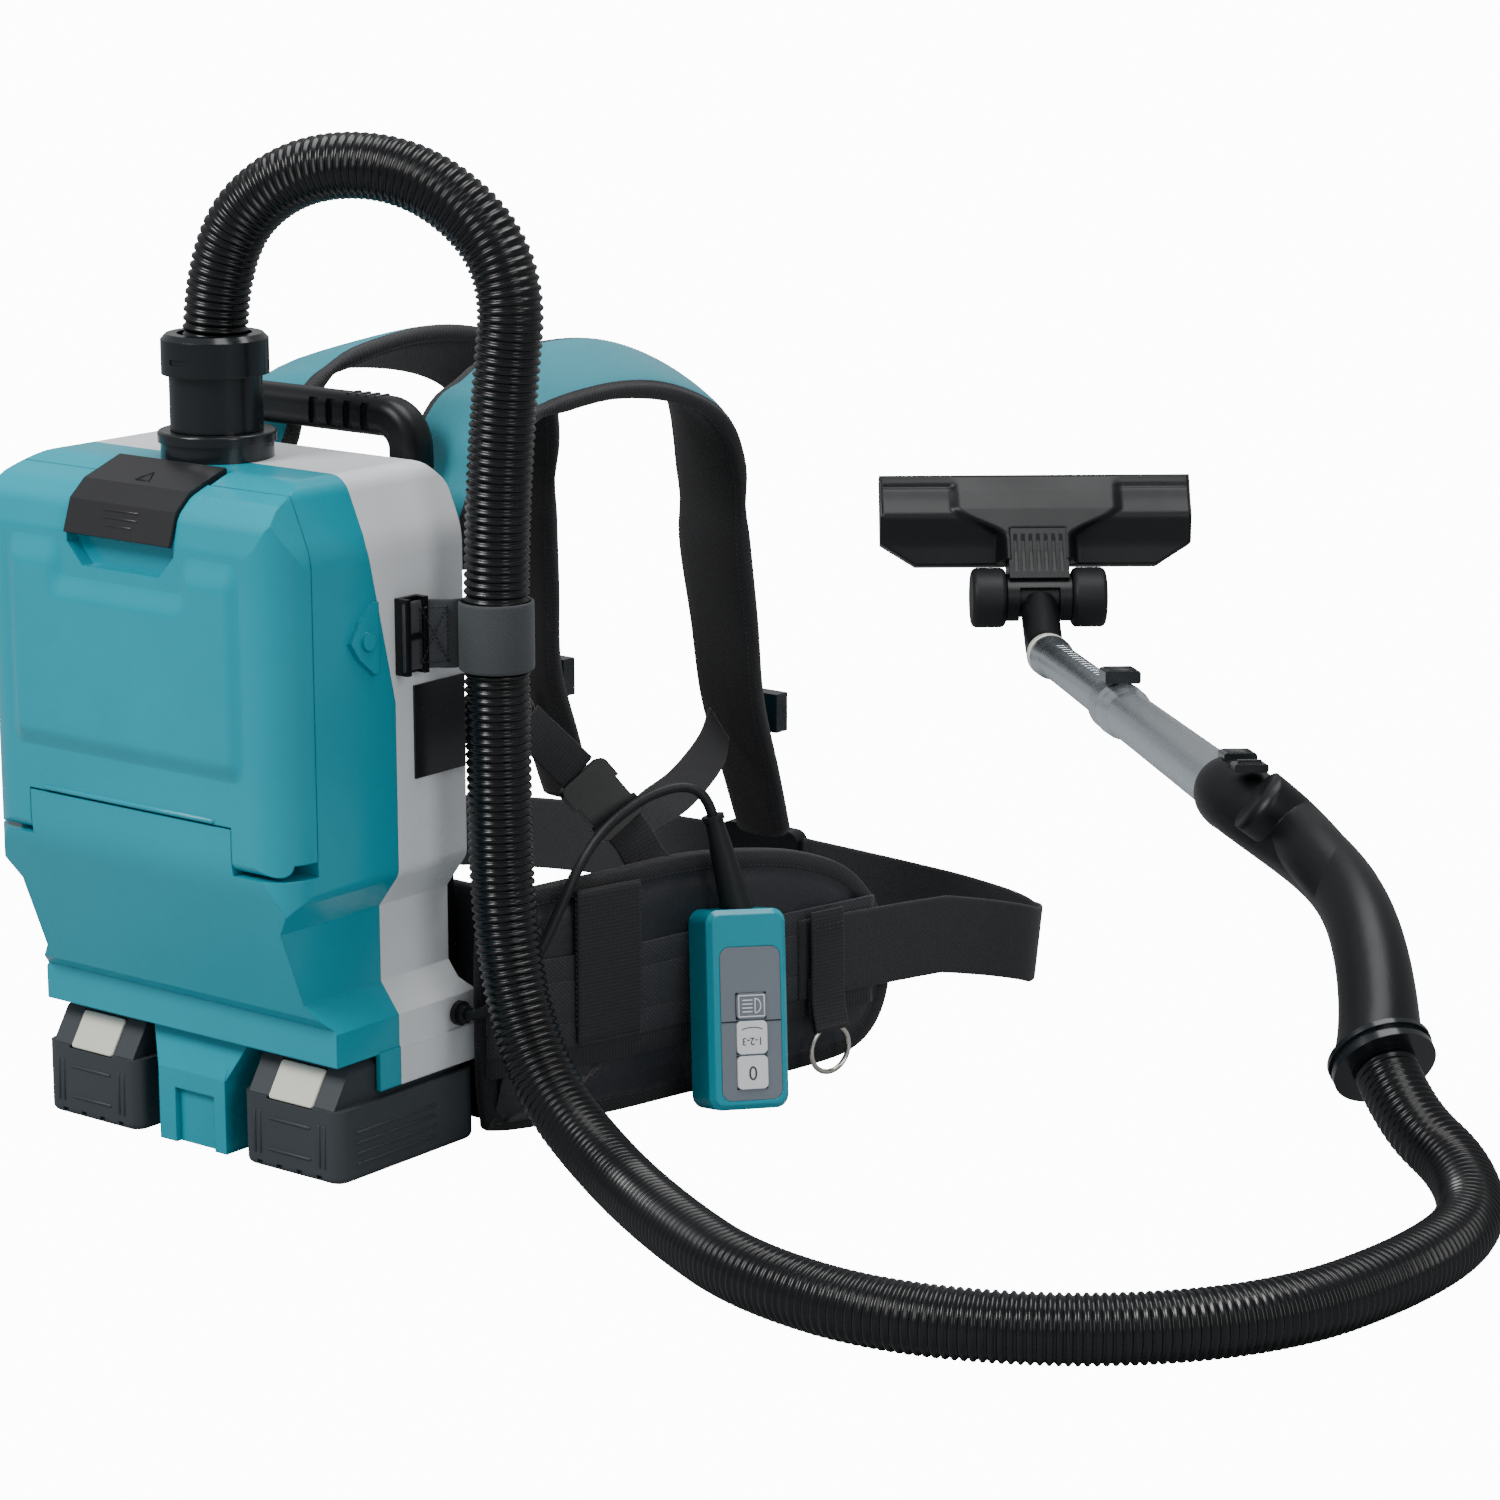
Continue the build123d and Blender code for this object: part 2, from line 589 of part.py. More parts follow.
with BuildPart() as wand_handle:
    with BuildSketch(across(MOUTH, wand * -1)):
        Circle(22.5)
    with BuildSketch(across(MOUTH - wand * 42, wand * -1)):
        Circle(22.5)
    with BuildSketch(across(HANDLE_SPINE[0], (0.80, -0.58, -0.12))):
        Ellipse(20, 22)
    with BuildSketch(across(HANDLE_SPINE[1], (0.74, -0.60, -0.30))):
        Ellipse(19.5, 21)
    with BuildSketch(across(HANDLE_SPINE[2], (0.64, -0.60, -0.48))):
        Ellipse(21, 21.5)
    with BuildSketch(across(RING_CENTRE - ring_dir * 13, ring_dir)):
        Circle(25.5)
    loft()
    # socket for the tube
    with BuildSketch(wand_plane(1)):
        Circle(TUBE_R)
    extrude(amount=-41, mode=Mode.SUBTRACT)
    # well of the release button
    with BuildSketch(wand_plane(-30.4)):
        with Locations((0, 24.9)):
            Rectangle(20.6, 12)
    extrude(amount=26.8, mode=Mode.SUBTRACT)
    # flat bed of the air slider
    with BuildSketch(wand_plane(-76)):
        with Locations((0, 30)):
            Rectangle(24, 19)
    extrude(amount=36, mode=Mode.SUBTRACT)
wand_handle.part.label = "wand_handle"
export_step(wand_handle.part, "parts/wand_handle.step")

with BuildPart() as wand_button:
    with BuildSketch(wand_plane(-30)):
        with Locations((0, 24.4)):
            RectangleRounded(20, 7, 2)
    extrude(amount=26)
wand_button.part.label = "wand_button"
export_step(wand_button.part, "parts/wand_button.step")

with BuildPart() as air_slider:
    with BuildSketch(wand_plane(-72)):
        with Locations((0, 23.2)):
            RectangleRounded(20, 5, 1.5)
    extrude(amount=18)
    with BuildSketch(wand_plane(-65)):
        with Locations((0, 26)):
            Rectangle(14, 3)
    extrude(amount=4)
air_slider.part.label = "air_slider"
export_step(air_slider.part, "parts/air_slider.step")

ring_plane = Plane(origin=RING_CENTRE - ring_dir * 12.8, z_dir=ring_dir)
with BuildPart() as hose_end_ring:
    with BuildSketch(ring_plane):
        Circle(27)
    extrude(amount=12.8)
    with BuildSketch(ring_plane.offset(2)):
        Circle(29.5)
    extrude(amount=3)
    with BuildSketch(ring_plane.offset(8.8)):
        Circle(29)
    extrude(amount=4)
    with BuildSketch(ring_plane.offset(-1)):
        Circle(15)
    extrude(amount=16, mode=Mode.SUBTRACT)
hose_end_ring.part.label = "hose_end_ring"
export_step(hose_end_ring.part, "parts/hose_end_ring.step")

with BuildPart() as outer_tube:
    with BuildSketch(wand_plane(-39)):
        Circle(TUBE_R)
        Circle(INNER_R + 0.06, mode=Mode.SUBTRACT)
    extrude(amount=39 + outer_length)
    with BuildSketch(wand_plane(outer_length - 72)):
        Circle(19.6)
        Circle(TUBE_R - 0.5, mode=Mode.SUBTRACT)
    extrude(amount=72)
    # window under the telescope lock
    with BuildSketch(wand_plane(outer_length - 52)):
        with Locations((0, 18)):
            Rectangle(12, 12)
    extrude(amount=26, mode=Mode.SUBTRACT)
outer_tube.part.label = "outer_tube"
export_step(outer_tube.part, "parts/outer_tube.step")

with BuildPart() as tube_lock:
    with BuildSketch(wand_plane(outer_length - 58)):
        with Locations((0, 24.6)):
            RectangleRounded(26, 9.4, 2)
    extrude(amount=40)
    with BuildSketch(wand_plane(outer_length - 48)):
        with Locations((0, 19)):
            Rectangle(10, 5.4)
    extrude(amount=18)
tube_lock.part.label = "tube_lock"
export_step(tube_lock.part, "parts/tube_lock.step")

with BuildPart() as inner_tube:
    with BuildSketch(wand_plane(330)):
        Circle(INNER_R)
        Circle(INNER_R - 1.3, mode=Mode.SUBTRACT)
    extrude(amount=tube_length - 330)
    # end sleeve
    with BuildSketch(wand_plane(tube_length - 30)):
        Circle(18)
        Circle(INNER_R - 0.5, mode=Mode.SUBTRACT)
    extrude(amount=30)
    # detent grooves along the top
    for i in range(18):
        with BuildSketch(wand_plane(outer_length + 14 + 20 * i)):
            with Locations((0, INNER_R + 0.6)):
                Rectangle(12, 2.2)
        extrude(amount=5, mode=Mode.SUBTRACT)
inner_tube.part.label = "inner_tube"
export_step(inner_tube.part, "parts/inner_tube.step")

# ---------------------------------------------------------------- floor head
BARREL = Vector(-371, 1347, 53)
TIP = 70.0                                # the head is tipped up by this angle
ahead = Vector(wand.X, wand.Y, 0).normalized()
g_dir = ahead * cos(radians(TIP)) + Vector(0, 0, 1) * sin(radians(TIP))
head_plane = Plane(origin=BARREL, x_dir=g_dir, z_dir=side)     # x along the head, y out of its top
print("tilt axis", [round(v, 4) for v in side], "head direction", [round(v, 4) for v in g_dir])

with BuildPart() as neck_elbow:
    to_barrel = (BARREL - (TUBE_END + wand * 26)).normalized()
    with BuildLine():
        elbow_line = FilletPolyline(TUBE_END + wand * 2, TUBE_END + wand * 26, BARREL - to_barrel * 11.5, radius=30)
    with BuildSketch(Plane(origin=elbow_line @ 0, x_dir=side, z_dir=wand)):
        Circle(16.4)
    sweep()
    with BuildSketch(Plane(origin=TUBE_END - wand * 18, x_dir=side, z_dir=wand)):
        Circle(INNER_R - 1.36)
    extrude(amount=22)
    with BuildSketch(head_plane.offset(-17)):
        Circle(17.2)
    extrude(amount=34)
    # air passage through the spigot
    with BuildSketch(Plane(origin=TUBE_END - wand * 20, x_dir=side, z_dir=wand)):
        Circle(11)
    extrude(amount=40, mode=Mode.SUBTRACT)
neck_elbow.part.label = "neck_elbow"
export_step(neck_elbow.part, "parts/neck_elbow.step")

with BuildPart() as floor_head:
    # plate of the head: humped top over a flat sole
    with BuildSketch(head_plane.offset(-136)):
        Polygon((30, -22), (109, -22), (110, -10), (98, -7), (86, -4), (72, 1), (60, -4), (48, -9),
                (30, -12), align=None)
    extrude(amount=272)
    # outer corners of the rear edge are cut back
    for s in (-1, 1):
        with BuildSketch(Plane(origin=BARREL, x_dir=side, z_dir=side.cross(g_dir)).offset(-30)):
            Polygon((s * 104, 29), (s * 137, 29), (s * 137, 50), align=None)
        extrude(amount=40, mode=Mode.SUBTRACT)
    # neck from the barrel to the plate
    with BuildSketch(head_plane.offset(-26)):
        Polygon((8, -19), (34, -20), (80, -8), (78, 3), (40, 13), (14, 19.5), align=None)
    extrude(amount=52)
    # barrel that holds the elbow's drum
    with BuildSketch(head_plane.offset(-28)):
        Circle(20.6)
    extrude(amount=56)
    with BuildSketch(head_plane.offset(-17.4)):
        Circle(17.7)
    extrude(amount=34.8, mode=Mode.SUBTRACT)
    with BuildSketch(head_plane.offset(-17.4)):
        Polygon((0, 0), (16, 60), (-60, 60), (-60, -60), (-26, -56), align=None)
    extrude(amount=34.8, mode=Mode.SUBTRACT)
    # suction slot in the sole
    with BuildSketch(head_plane.offset(-112)):
        Polygon((66, -23), (82, -23), (80, -12), (68, -12), align=None)
    extrude(amount=224, mode=Mode.SUBTRACT)
    # ribs on the neck
    for i in range(7):
        with BuildSketch(head_plane.offset(-21.3 + 6.6 * i)):
            Polygon((14, 24), (20, 18), (46, 9.5), (58, 9), (58, 14), (30, 30), align=None)
        extrude(amount=3.0, mode=Mode.SUBTRACT)
    # axle stubs for the wheels
    with BuildSketch(head_plane.offset(-58)):
        Circle(5)
    extrude(amount=30.5)
    with BuildSketch(head_plane.offset(27.5)):
        Circle(5)
    extrude(amount=30.5)
floor_head.part.label = "floor_head"
export_step(floor_head.part, "parts/floor_head.step")

with BuildPart() as sole_brush:
    for g0 in (62, 86):
        with BuildSketch(head_plane.offset(-124)):
            Polygon((g0, -22), (g0 + 3, -22), (g0 + 3, -26), (g0, -26), align=None)
        extrude(amount=248)
sole_brush.part.label = "sole_brush"
export_step(sole_brush.part, "parts/sole_brush.step")


def wheel(side_sign):
    start = 28.6 if side_sign > 0 else -58.6
    with BuildSketch(head_plane.offset(start)) as disc:
        Circle(26)
    extrude(disc.sketch, amount=30)


with BuildPart() as head_wheel_right:
    wheel(1)
    fillet(head_wheel_right.edges().filter_by(GeomType.CIRCLE), 5)
    with BuildSketch(head_plane.offset(20)):
        Circle(5.05)
    extrude(amount=38.2, mode=Mode.SUBTRACT)
head_wheel_right.part.label = "head_wheel_right"
export_step(head_wheel_right.part, "parts/head_wheel_right.step")

with BuildPart() as head_wheel_left:
    wheel(-1)
    fillet(head_wheel_left.edges().filter_by(GeomType.CIRCLE), 5)
    with BuildSketch(head_plane.offset(-58.2)):
        Circle(5.05)
    extrude(amount=38.2, mode=Mode.SUBTRACT)
head_wheel_left.part.label = "head_wheel_left"
export_step(head_wheel_left.part, "parts/head_wheel_left.step")

# ---------------------------------------------------------------- shoulder pads
SHOULDER = [(66, 324), (67, 346), (80, 371), (93, 393), (128, 410), (190, 417), (250, 410), (296, 390), (314, 356),
            (318, 300), (326, 250), (333, 200), (352, 150), (366, 112)]


def band(points, half):
    """Closed outline of a band of the given half thickness along a polyline."""
    left, right = [], []
    for i, p in enumerate(points):
        a = points[max(0, i - 1)]
        b = points[min(len(points) - 1, i + 1)]
        t = (Vector(*b) - Vector(*a)).normalized()
        left.append((p[0] - t.Y * half, p[1] + t.X * half))
        right.append((p[0] + t.Y * half, p[1] - t.X * half))
    return left + right[::-1]


with BuildPart() as shoulder_pad_right:
    with BuildSketch(Plane.YZ.offset(44)):
        Polygon(*band(SHOULDER, PAD_T / 2), align=None)
    extrude(amount=72, dir=(68, 0, -20))
    with BuildSketch(Plane.XZ.offset(-20)):
        Polygon((43, 440), (113, 440), (113, 310), (104, 270), (99, 90), (60, 90), (58, 250), (43, 310),
                align=None)
    extrude(amount=-400, mode=Mode.INTERSECT)
shoulder_pad_right.part.label = "shoulder_pad_right"
export_step(shoulder_pad_right.part, "parts/shoulder_pad_right.step")

with BuildPart() as shoulder_pad_left:
    add(mirror(shoulder_pad_right.part, about=Plane.YZ))
shoulder_pad_left.part.label = "shoulder_pad_left"
export_step(shoulder_pad_left.part, "parts/shoulder_pad_left.step")

# adjusting webbing: back frame, ring, buckle, waist pad, and the run up to the shoulder pad
BUCKLE_C = Vector(129, 148.5, 179.5)
buckle_run = Vector(16, 11, -23).normalized()
BUCKLE_TOP, BUCKLE_END = BUCKLE_C - buckle_run * 23, BUCKLE_C + buckle_run * 23
with BuildPart() as side_webbing_right:
    strip((94, 60.2, 236), (100.6, 101.4, 231.2), 25, WEB_T, up=(0.9, 0, 0.3), extra=0)
    strip((109.6, 118.5, 220), BUCKLE_TOP, 25, WEB_T, up=(0.8, -0.5, 0.2), extra=0)
    strip(BUCKLE_END, (148, 161.5, 150), 25, WEB_T, up=(0.8, -0.5, 0.2), extra=0)
    strip((147, 172, 150), (77, 322, 184), 25, WEB_T, up=(0.9, 0.3, 0.2), extra=0)
side_webbing_right.part.label = "side_webbing_right"
export_step(side_webbing_right.part, "parts/side_webbing_right.step")

with BuildPart() as side_webbing_left:
    add(mirror(side_webbing_right.part, about=Plane.YZ))
side_webbing_left.part.label = "side_webbing_left"
export_step(side_webbing_left.part, "parts/side_webbing_left.step")

buckle_plane = plane_between(BUCKLE_TOP, BUCKLE_END, up=(0.8, -0.5, 0.2))
with BuildPart() as strap_buckle_right:
    with BuildSketch(buckle_plane.offset(-4.5)):
        RectangleRounded(40, 33, 5)
    extrude(amount=9)
    for s in (-1, 1):
        with BuildSketch(buckle_plane.offset(-5)):
            with Locations((2, s * 17)):
                Rectangle(14, 5)
        extrude(amount=10, mode=Mode.SUBTRACT)
strap_buckle_right.part.label = "strap_buckle_right"
export_step(strap_buckle_right.part, "parts/strap_buckle_right.step")

with BuildPart() as strap_buckle_left:
    add(mirror(strap_buckle_right.part, about=Plane.YZ))
strap_buckle_left.part.label = "strap_buckle_left"
export_step(strap_buckle_left.part, "parts/strap_buckle_left.step")

with BuildPart() as d_rings:
    for s in (-1, 1):
        with BuildSketch(Plane(origin=(s * 102.4, 110.5, 225), x_dir=(0, 1, 0), z_dir=(s, 0, 0))):
            with Locations((0, 0)):
                RectangleRounded(16, 34, 7)
                RectangleRounded(10, 28, 4.5, mode=Mode.SUBTRACT)
        extrude(amount=3)
d_rings.part.label = "d_rings"
export_step(d_rings.part, "parts/d_rings.step")

with BuildPart() as strap_clips:
    for s in (-1, 1):
        with Locations((s * 85, 356, 190)):
            Box(32, 11, 24)
strap_clips.part.label = "strap_clips"
export_step(strap_clips.part, "parts/strap_clips.step")

# ---------------------------------------------------------------- waist belt
WING = [(112, 40), (146.5, 118), (162, 186.5), (181, 246), (204, 342)]
wing_side = Plane(origin=(129, 58, 0), x_dir=(0.24, 0.97, 0), z_dir=(0.97, -0.24, 0))
with BuildPart() as waist_pad_right:
    with BuildSketch(Plane.XY):
        Polygon(*band(WING, BELT_T / 2), align=None)
    extrude(amount=150)
    with BuildSketch(wing_side.offset(-60)) as wing_profile:
        Polygon((-20, 1), (240, 1), (268, 8), (286, 30), (290, 60), (281, 100), (246, 130), (205, 143),
                (150, 147), (70, 146), (-20, 142), align=None)
        fillet(wing_profile.vertices().filter_by_position(Axis.Y, 270, 420), 9)
    extrude(amount=120, mode=Mode.INTERSECT)
    # the end against the lumbar pad is square
    with Locations((90, 60, 70), (110, 11, 70)):
        Box(60, 80, 200, mode=Mode.SUBTRACT)
waist_pad_right.part.label = "waist_pad_right"
export_step(waist_pad_right.part, "parts/waist_pad_right.step")

with BuildPart() as waist_pad_left:
    add(mirror(waist_pad_right.part, about=Plane.YZ))
waist_pad_left.part.label = "waist_pad_left"
export_step(waist_pad_left.part, "parts/waist_pad_left.step")

with BuildPart() as lumbar_pad:
    with BuildSketch(Plane.XY.offset(1)):
        with Locations((0, 74)):
            RectangleRounded(239.2, 18, 6)
    extrude(amount=141)
lumbar_pad.part.label = "lumbar_pad"
export_step(lumbar_pad.part, "parts/lumbar_pad.step")

WAIST_WEB = [(193, 251), (213.2, 338), (226, 391), (236, 430), (225, 453), (196, 463), (120, 468), (33, 470)]
with BuildPart() as waist_webbing_right:
    with BuildSketch(Plane.XY.offset(30)):
        Polygon(*band(WAIST_WEB, WEB_T / 2), align=None)
    extrude(amount=46)
waist_webbing_right.part.label = "waist_webbing_right"
export_step(waist_webbing_right.part, "parts/waist_webbing_right.step")

with BuildPart() as waist_webbing_left:
    add(mirror(waist_webbing_right.part, about=Plane.YZ))
waist_webbing_left.part.label = "waist_webbing_left"
export_step(waist_webbing_left.part, "parts/waist_webbing_left.step")

with BuildPart() as waist_buckle:
    with BuildSketch(Plane.XZ.offset(-464)):
        with Locations((0, 53)):
            RectangleRounded(64, 56, 8)
            for s in (-1, 1):
                with Locations((0, s * 28)):
                    Rectangle(22, 8, mode=Mode.SUBTRACT)
    extrude(amount=-11)
waist_buckle.part.label = "waist_buckle"
export_step(waist_buckle.part, "parts/waist_buckle.step")

face = Vector(0.97, -0.24, 0)
LOOP_BASE = Vector(196.8, 268, 0)
with BuildPart() as accessory_loop:
    strip(LOOP_BASE + face * 5 + Vector(0, 0, 30), LOOP_BASE + face * 5 + Vector(0, 0, 98), 26, 2.4, up=face)
accessory_loop.part.label = "accessory_loop"
export_step(accessory_loop.part, "parts/accessory_loop.step")

RING_C = LOOP_BASE + face * 8.6 + Vector(0, 0, 17)
with BuildPart() as accessory_ring:
    with Locations(Plane(origin=RING_C, x_dir=(0.24, 0.97, 0), z_dir=face)):
        Torus(14.2, 1.6)
accessory_ring.part.label = "accessory_ring"
export_step(accessory_ring.part, "parts/accessory_ring.step")

# ---------------------------------------------------------------- wired remote
REMOTE_TOP, REMOTE_FOOT = Vector(191, 195, 115.5), Vector(209, 176, 3.8)
r_up = (REMOTE_TOP - REMOTE_FOOT).normalized()
r_out0 = Vector(0.89, -0.457, 0)
r_x = Vector(0, 0, 1).cross(r_out0).normalized()
r_x = (r_x - r_up * r_x.dot(r_up)).normalized()
r_out = r_x.cross(r_up).normalized()
remote_plane = Plane(origin=(REMOTE_TOP + REMOTE_FOOT) / 2, x_dir=r_x, z_dir=r_out)  # x right, y up
print("remote outward", [round(v, 4) for v in r_out], "up", [round(v, 4) for v in r_up])
REMOTE_W, REMOTE_H, REMOTE_T = 50.0, 114.6, 27.0

with BuildPart() as remote_case:
    with BuildSketch(remote_plane.offset(-REMOTE_T / 2)):
        RectangleRounded(REMOTE_W, REMOTE_H, 8)
    extrude(amount=REMOTE_T)
    chamfer(remote_case.faces().sort_by(Axis((0, 0, 0), tuple(r_out)))[-1].edges(), 3)
    with BuildSketch(remote_plane.offset(REMOTE_T / 2 - 0.8)):
        with Locations((1, -8)):
            RectangleRounded(38, 88, 6)
    extrude(amount=3, mode=Mode.SUBTRACT)
    # pockets under the keys
    with BuildSketch(remote_plane.offset(REMOTE_T / 2 - 4)):
        for y, h in ((2, 15), (-16, 19), (-36, 19)):
            with Locations((1, y)):
                Rectangle(19.4, h + 0.4)
    extrude(amount=4, mode=Mode.SUBTRACT)
remote_case.part.label = "remote_case"
export_step(remote_case.part, "parts/remote_case.step")

with BuildPart() as remote_panel:
    with BuildSketch(remote_plane.offset(REMOTE_T / 2 - 0.8)):
        with Locations((1, -8)):
            RectangleRounded(37.6, 87.6, 5.8)
        for y, h in ((2, 15), (-16, 19), (-36, 19)):
            with Locations((1, y)):
                Rectangle(19.4, h + 0.4, mode=Mode.SUBTRACT)
    extrude(amount=0.8)
remote_panel.part.label = "remote_panel"
export_step(remote_panel.part, "parts/remote_panel.step")


def remote_key(y, h):
    with BuildSketch(remote_plane.offset(REMOTE_T / 2 - 2.6)) as key:
        with Locations((1, y)):
            RectangleRounded(19, h, 3)
    extrude(key.sketch, amount=3.6)


with BuildPart() as light_key:
    remote_key(2, 15)
light_key.part.label = "light_key"
export_step(light_key.part, "parts/light_key.step")

with BuildPart() as speed_key:
    remote_key(-16, 19)
speed_key.part.label = "speed_key"
export_step(speed_key.part, "parts/speed_key.step")

with BuildPart() as stop_key:
    remote_key(-36, 19)
stop_key.part.label = "stop_key"
export_step(stop_key.part, "parts/stop_key.step")

RELIEF_LEN = 54.0
relief_base = (REMOTE_TOP + REMOTE_FOOT) / 2 + r_up * (REMOTE_H / 2)
relief_dir = Vector(-13, -7, 56.2).normalized()
with BuildPart() as cable_relief:
    with BuildSketch(Plane(origin=relief_base, x_dir=r_x, z_dir=r_up)):
        Ellipse(10, 9)
    with BuildSketch(Plane(origin=relief_base + relief_dir * RELIEF_LEN, x_dir=r_x, z_dir=relief_dir)):
        Circle(5.4)
    loft()
    with BuildSketch(Plane(origin=relief_base + relief_dir * (RELIEF_LEN - 0.5), x_dir=r_x, z_dir=relief_dir)):
        Circle(6.6)
    extrude(amount=3)
cable_relief.part.label = "cable_relief"
export_step(cable_relief.part, "parts/cable_relief.step")
relief_tip = relief_base + relief_dir * (RELIEF_LEN + 2.5)
print("relief tip", [round(v, 2) for v in relief_tip])

with BuildPart() as cable_gland:
    with BuildSketch(Plane.YZ.offset(113.9)):
        with Locations((40, 76)):
            Circle(7)
    extrude(amount=3)
    with BuildSketch(Plane.YZ.offset(116.9)):
        with Locations((40, 76)):
            Circle(5)
    extrude(amount=4)
cable_gland.part.label = "cable_gland"
export_step(cable_gland.part, "parts/cable_gland.step")

lead = relief_tip + relief_dir * 9
CABLE_ROUTE = [tuple(relief_tip), tuple(lead), (169.5, 181.5, 187), (160.5, 170.5, 187), (152, 152, 181),
               (145.5, 128, 168), (154, 96.5, 154), (151.5, 80, 127), (148, 66, 105), (136.5, 50, 87),
               (130, 40, 76), (120.9, 40, 76)]
cable_radii = fillet_radii(CABLE_ROUTE)
print("remote cable radii", cable_radii)
with BuildPart() as remote_cable:
    with BuildLine():
        cable_line = FilletPolyline(*CABLE_ROUTE, radius=cable_radii)
    with BuildSketch(Plane(origin=cable_line @ 0, z_dir=cable_line % 0)):
        Circle(CABLE_D / 2)
    sweep()
remote_cable.part.label = "remote_cable"
export_step(remote_cable.part, "parts/remote_cable.step")

# ---------------------------------------------------------------- screws
with BuildPart() as housing_screws:
    for x, z in ((-90.8, 108), (90.8, 108), (-90.8, 210), (90.8, 210), (-82, 340), (82, 340)):
        with BuildSketch(Plane.XZ.offset(-REAR_Y - 10)):
            with Locations((x, z)):
                Circle(4)
        extrude(amount=-2)
housing_screws.part.label = "housing_screws"
export_step(housing_screws.part, "parts/housing_screws.step")
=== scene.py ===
import math

import bpy
import bmesh
import numpy as np
from mathutils import Matrix, Vector


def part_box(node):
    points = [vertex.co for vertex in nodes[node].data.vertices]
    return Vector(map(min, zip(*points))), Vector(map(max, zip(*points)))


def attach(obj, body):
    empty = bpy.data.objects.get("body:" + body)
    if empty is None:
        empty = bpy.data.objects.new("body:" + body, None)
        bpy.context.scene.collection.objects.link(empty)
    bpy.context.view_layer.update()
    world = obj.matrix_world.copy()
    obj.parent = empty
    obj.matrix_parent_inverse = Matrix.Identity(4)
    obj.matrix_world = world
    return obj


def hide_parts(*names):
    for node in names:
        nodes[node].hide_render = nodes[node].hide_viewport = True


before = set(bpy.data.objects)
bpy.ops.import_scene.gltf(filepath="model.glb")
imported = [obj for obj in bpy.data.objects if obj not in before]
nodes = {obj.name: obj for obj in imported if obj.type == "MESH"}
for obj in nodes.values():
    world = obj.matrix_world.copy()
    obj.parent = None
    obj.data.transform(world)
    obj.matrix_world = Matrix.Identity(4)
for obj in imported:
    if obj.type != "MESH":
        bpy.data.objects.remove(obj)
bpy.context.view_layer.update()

MM = 0.001
CAMERA_AT = (1.618, -1.646, 0.751)
CAMERA_TURN = (math.radians(90 - 13.1), 0, math.radians(37.6))    # 13.1 degrees down, 37.6 round
CAMERA_LENS, SENSOR_WIDTH = 100.8, 36.0                           # mm
STUDIO_WHITE = (0.97, 0.98, 1.0, 1)
BACKDROP_GLOW = 14.0        # of floor and world, as the camera sees them

# ------------------------------------------------------------------ camera
cam_data = bpy.data.cameras.new("camera")
cam_data.lens = CAMERA_LENS
cam_data.sensor_width = SENSOR_WIDTH
camera = bpy.data.objects.new("camera", cam_data)
camera.location = CAMERA_AT
camera.rotation_euler = CAMERA_TURN
bpy.context.scene.collection.objects.link(camera)
bpy.context.scene.camera = camera


# ------------------------------------------------------------------ small helpers
def link(obj):
    bpy.context.scene.collection.objects.link(obj)
    return obj


def mesh_object(name, verts, faces, mat=None, smooth=True, uvs=None, mats=None, face_mats=None):
    """Mesh with one material, or with mats chosen by face_mats; uvs are in metres, one for each vertex."""
    me = bpy.data.meshes.new(name)
    me.from_pydata([tuple(v) for v in verts], [], [tuple(f) for f in faces])
    if uvs is not None:
        layer = me.uv_layers.new(name="UVMap")
        flat = np.zeros(len(me.loops) * 2, np.float32)
        idx = np.zeros(len(me.loops), np.int32)
        me.loops.foreach_get("vertex_index", idx)
        uv = np.asarray(uvs, np.float32)
        flat[0::2], flat[1::2] = uv[idx, 0], uv[idx, 1]
        layer.data.foreach_set("uv", flat)
    me.polygons.foreach_set("use_smooth", [smooth] * len(me.polygons))
    for m in mats or ([mat] if mat else []):
        me.materials.append(m)
    if face_mats is not None:
        me.polygons.foreach_set("material_index", list(face_mats))
    me.update()
    return link(bpy.data.objects.new(name, me))


def clean(obj, weld=0.0):
    """Join vertices closer than weld, then turn every face outward."""
    bm = bmesh.new()
    bm.from_mesh(obj.data)
    if weld:
        bmesh.ops.remove_doubles(bm, verts=bm.verts, dist=weld)
    bmesh.ops.recalc_face_normals(bm, faces=bm.faces)
    bm.to_mesh(obj.data)
    bm.free()
    return obj


def grid_faces(shape, kept=lambda r, c: True):
    """Quads over a grid of points counted row by row."""
    rows, wide = shape
    return [(r * wide + c, r * wide + c + 1, (r + 1) * wide + c + 1, (r + 1) * wide + c)
            for r in range(rows - 1) for c in range(wide - 1) if kept(r, c)]


def ring_faces(rings, sides):
    """Quads between closed rings of points."""
    return [(i * sides + k, i * sides + (k + 1) % sides, (i + 1) * sides + (k + 1) % sides, (i + 1) * sides + k)
            for i in range(rings - 1) for k in range(sides)]


def catmull(points, per=8):
    """Smooth run through the points, with per steps a span; works on any number of columns."""
    p = np.asarray(points, float)
    p = np.vstack([2 * p[0] - p[1], p, 2 * p[-1] - p[-2]])
    out = []
    for i in range(1, len(p) - 2):
        a, b, c, d = p[i - 1], p[i], p[i + 1], p[i + 2]
        for k in range(per):
            t = k / per
            out.append(0.5 * ((2 * b) + (c - a) * t + (2 * a - 5 * b + 4 * c - d) * t * t
                              + (3 * b - a - 3 * c + d) * t ** 3))
    out.append(p[-2])
    return np.array(out)


def unit(v):
    v = np.asarray(v, float)
    n = np.linalg.norm(v, axis=-1, keepdims=True)
    return v / np.where(n == 0, 1, n)


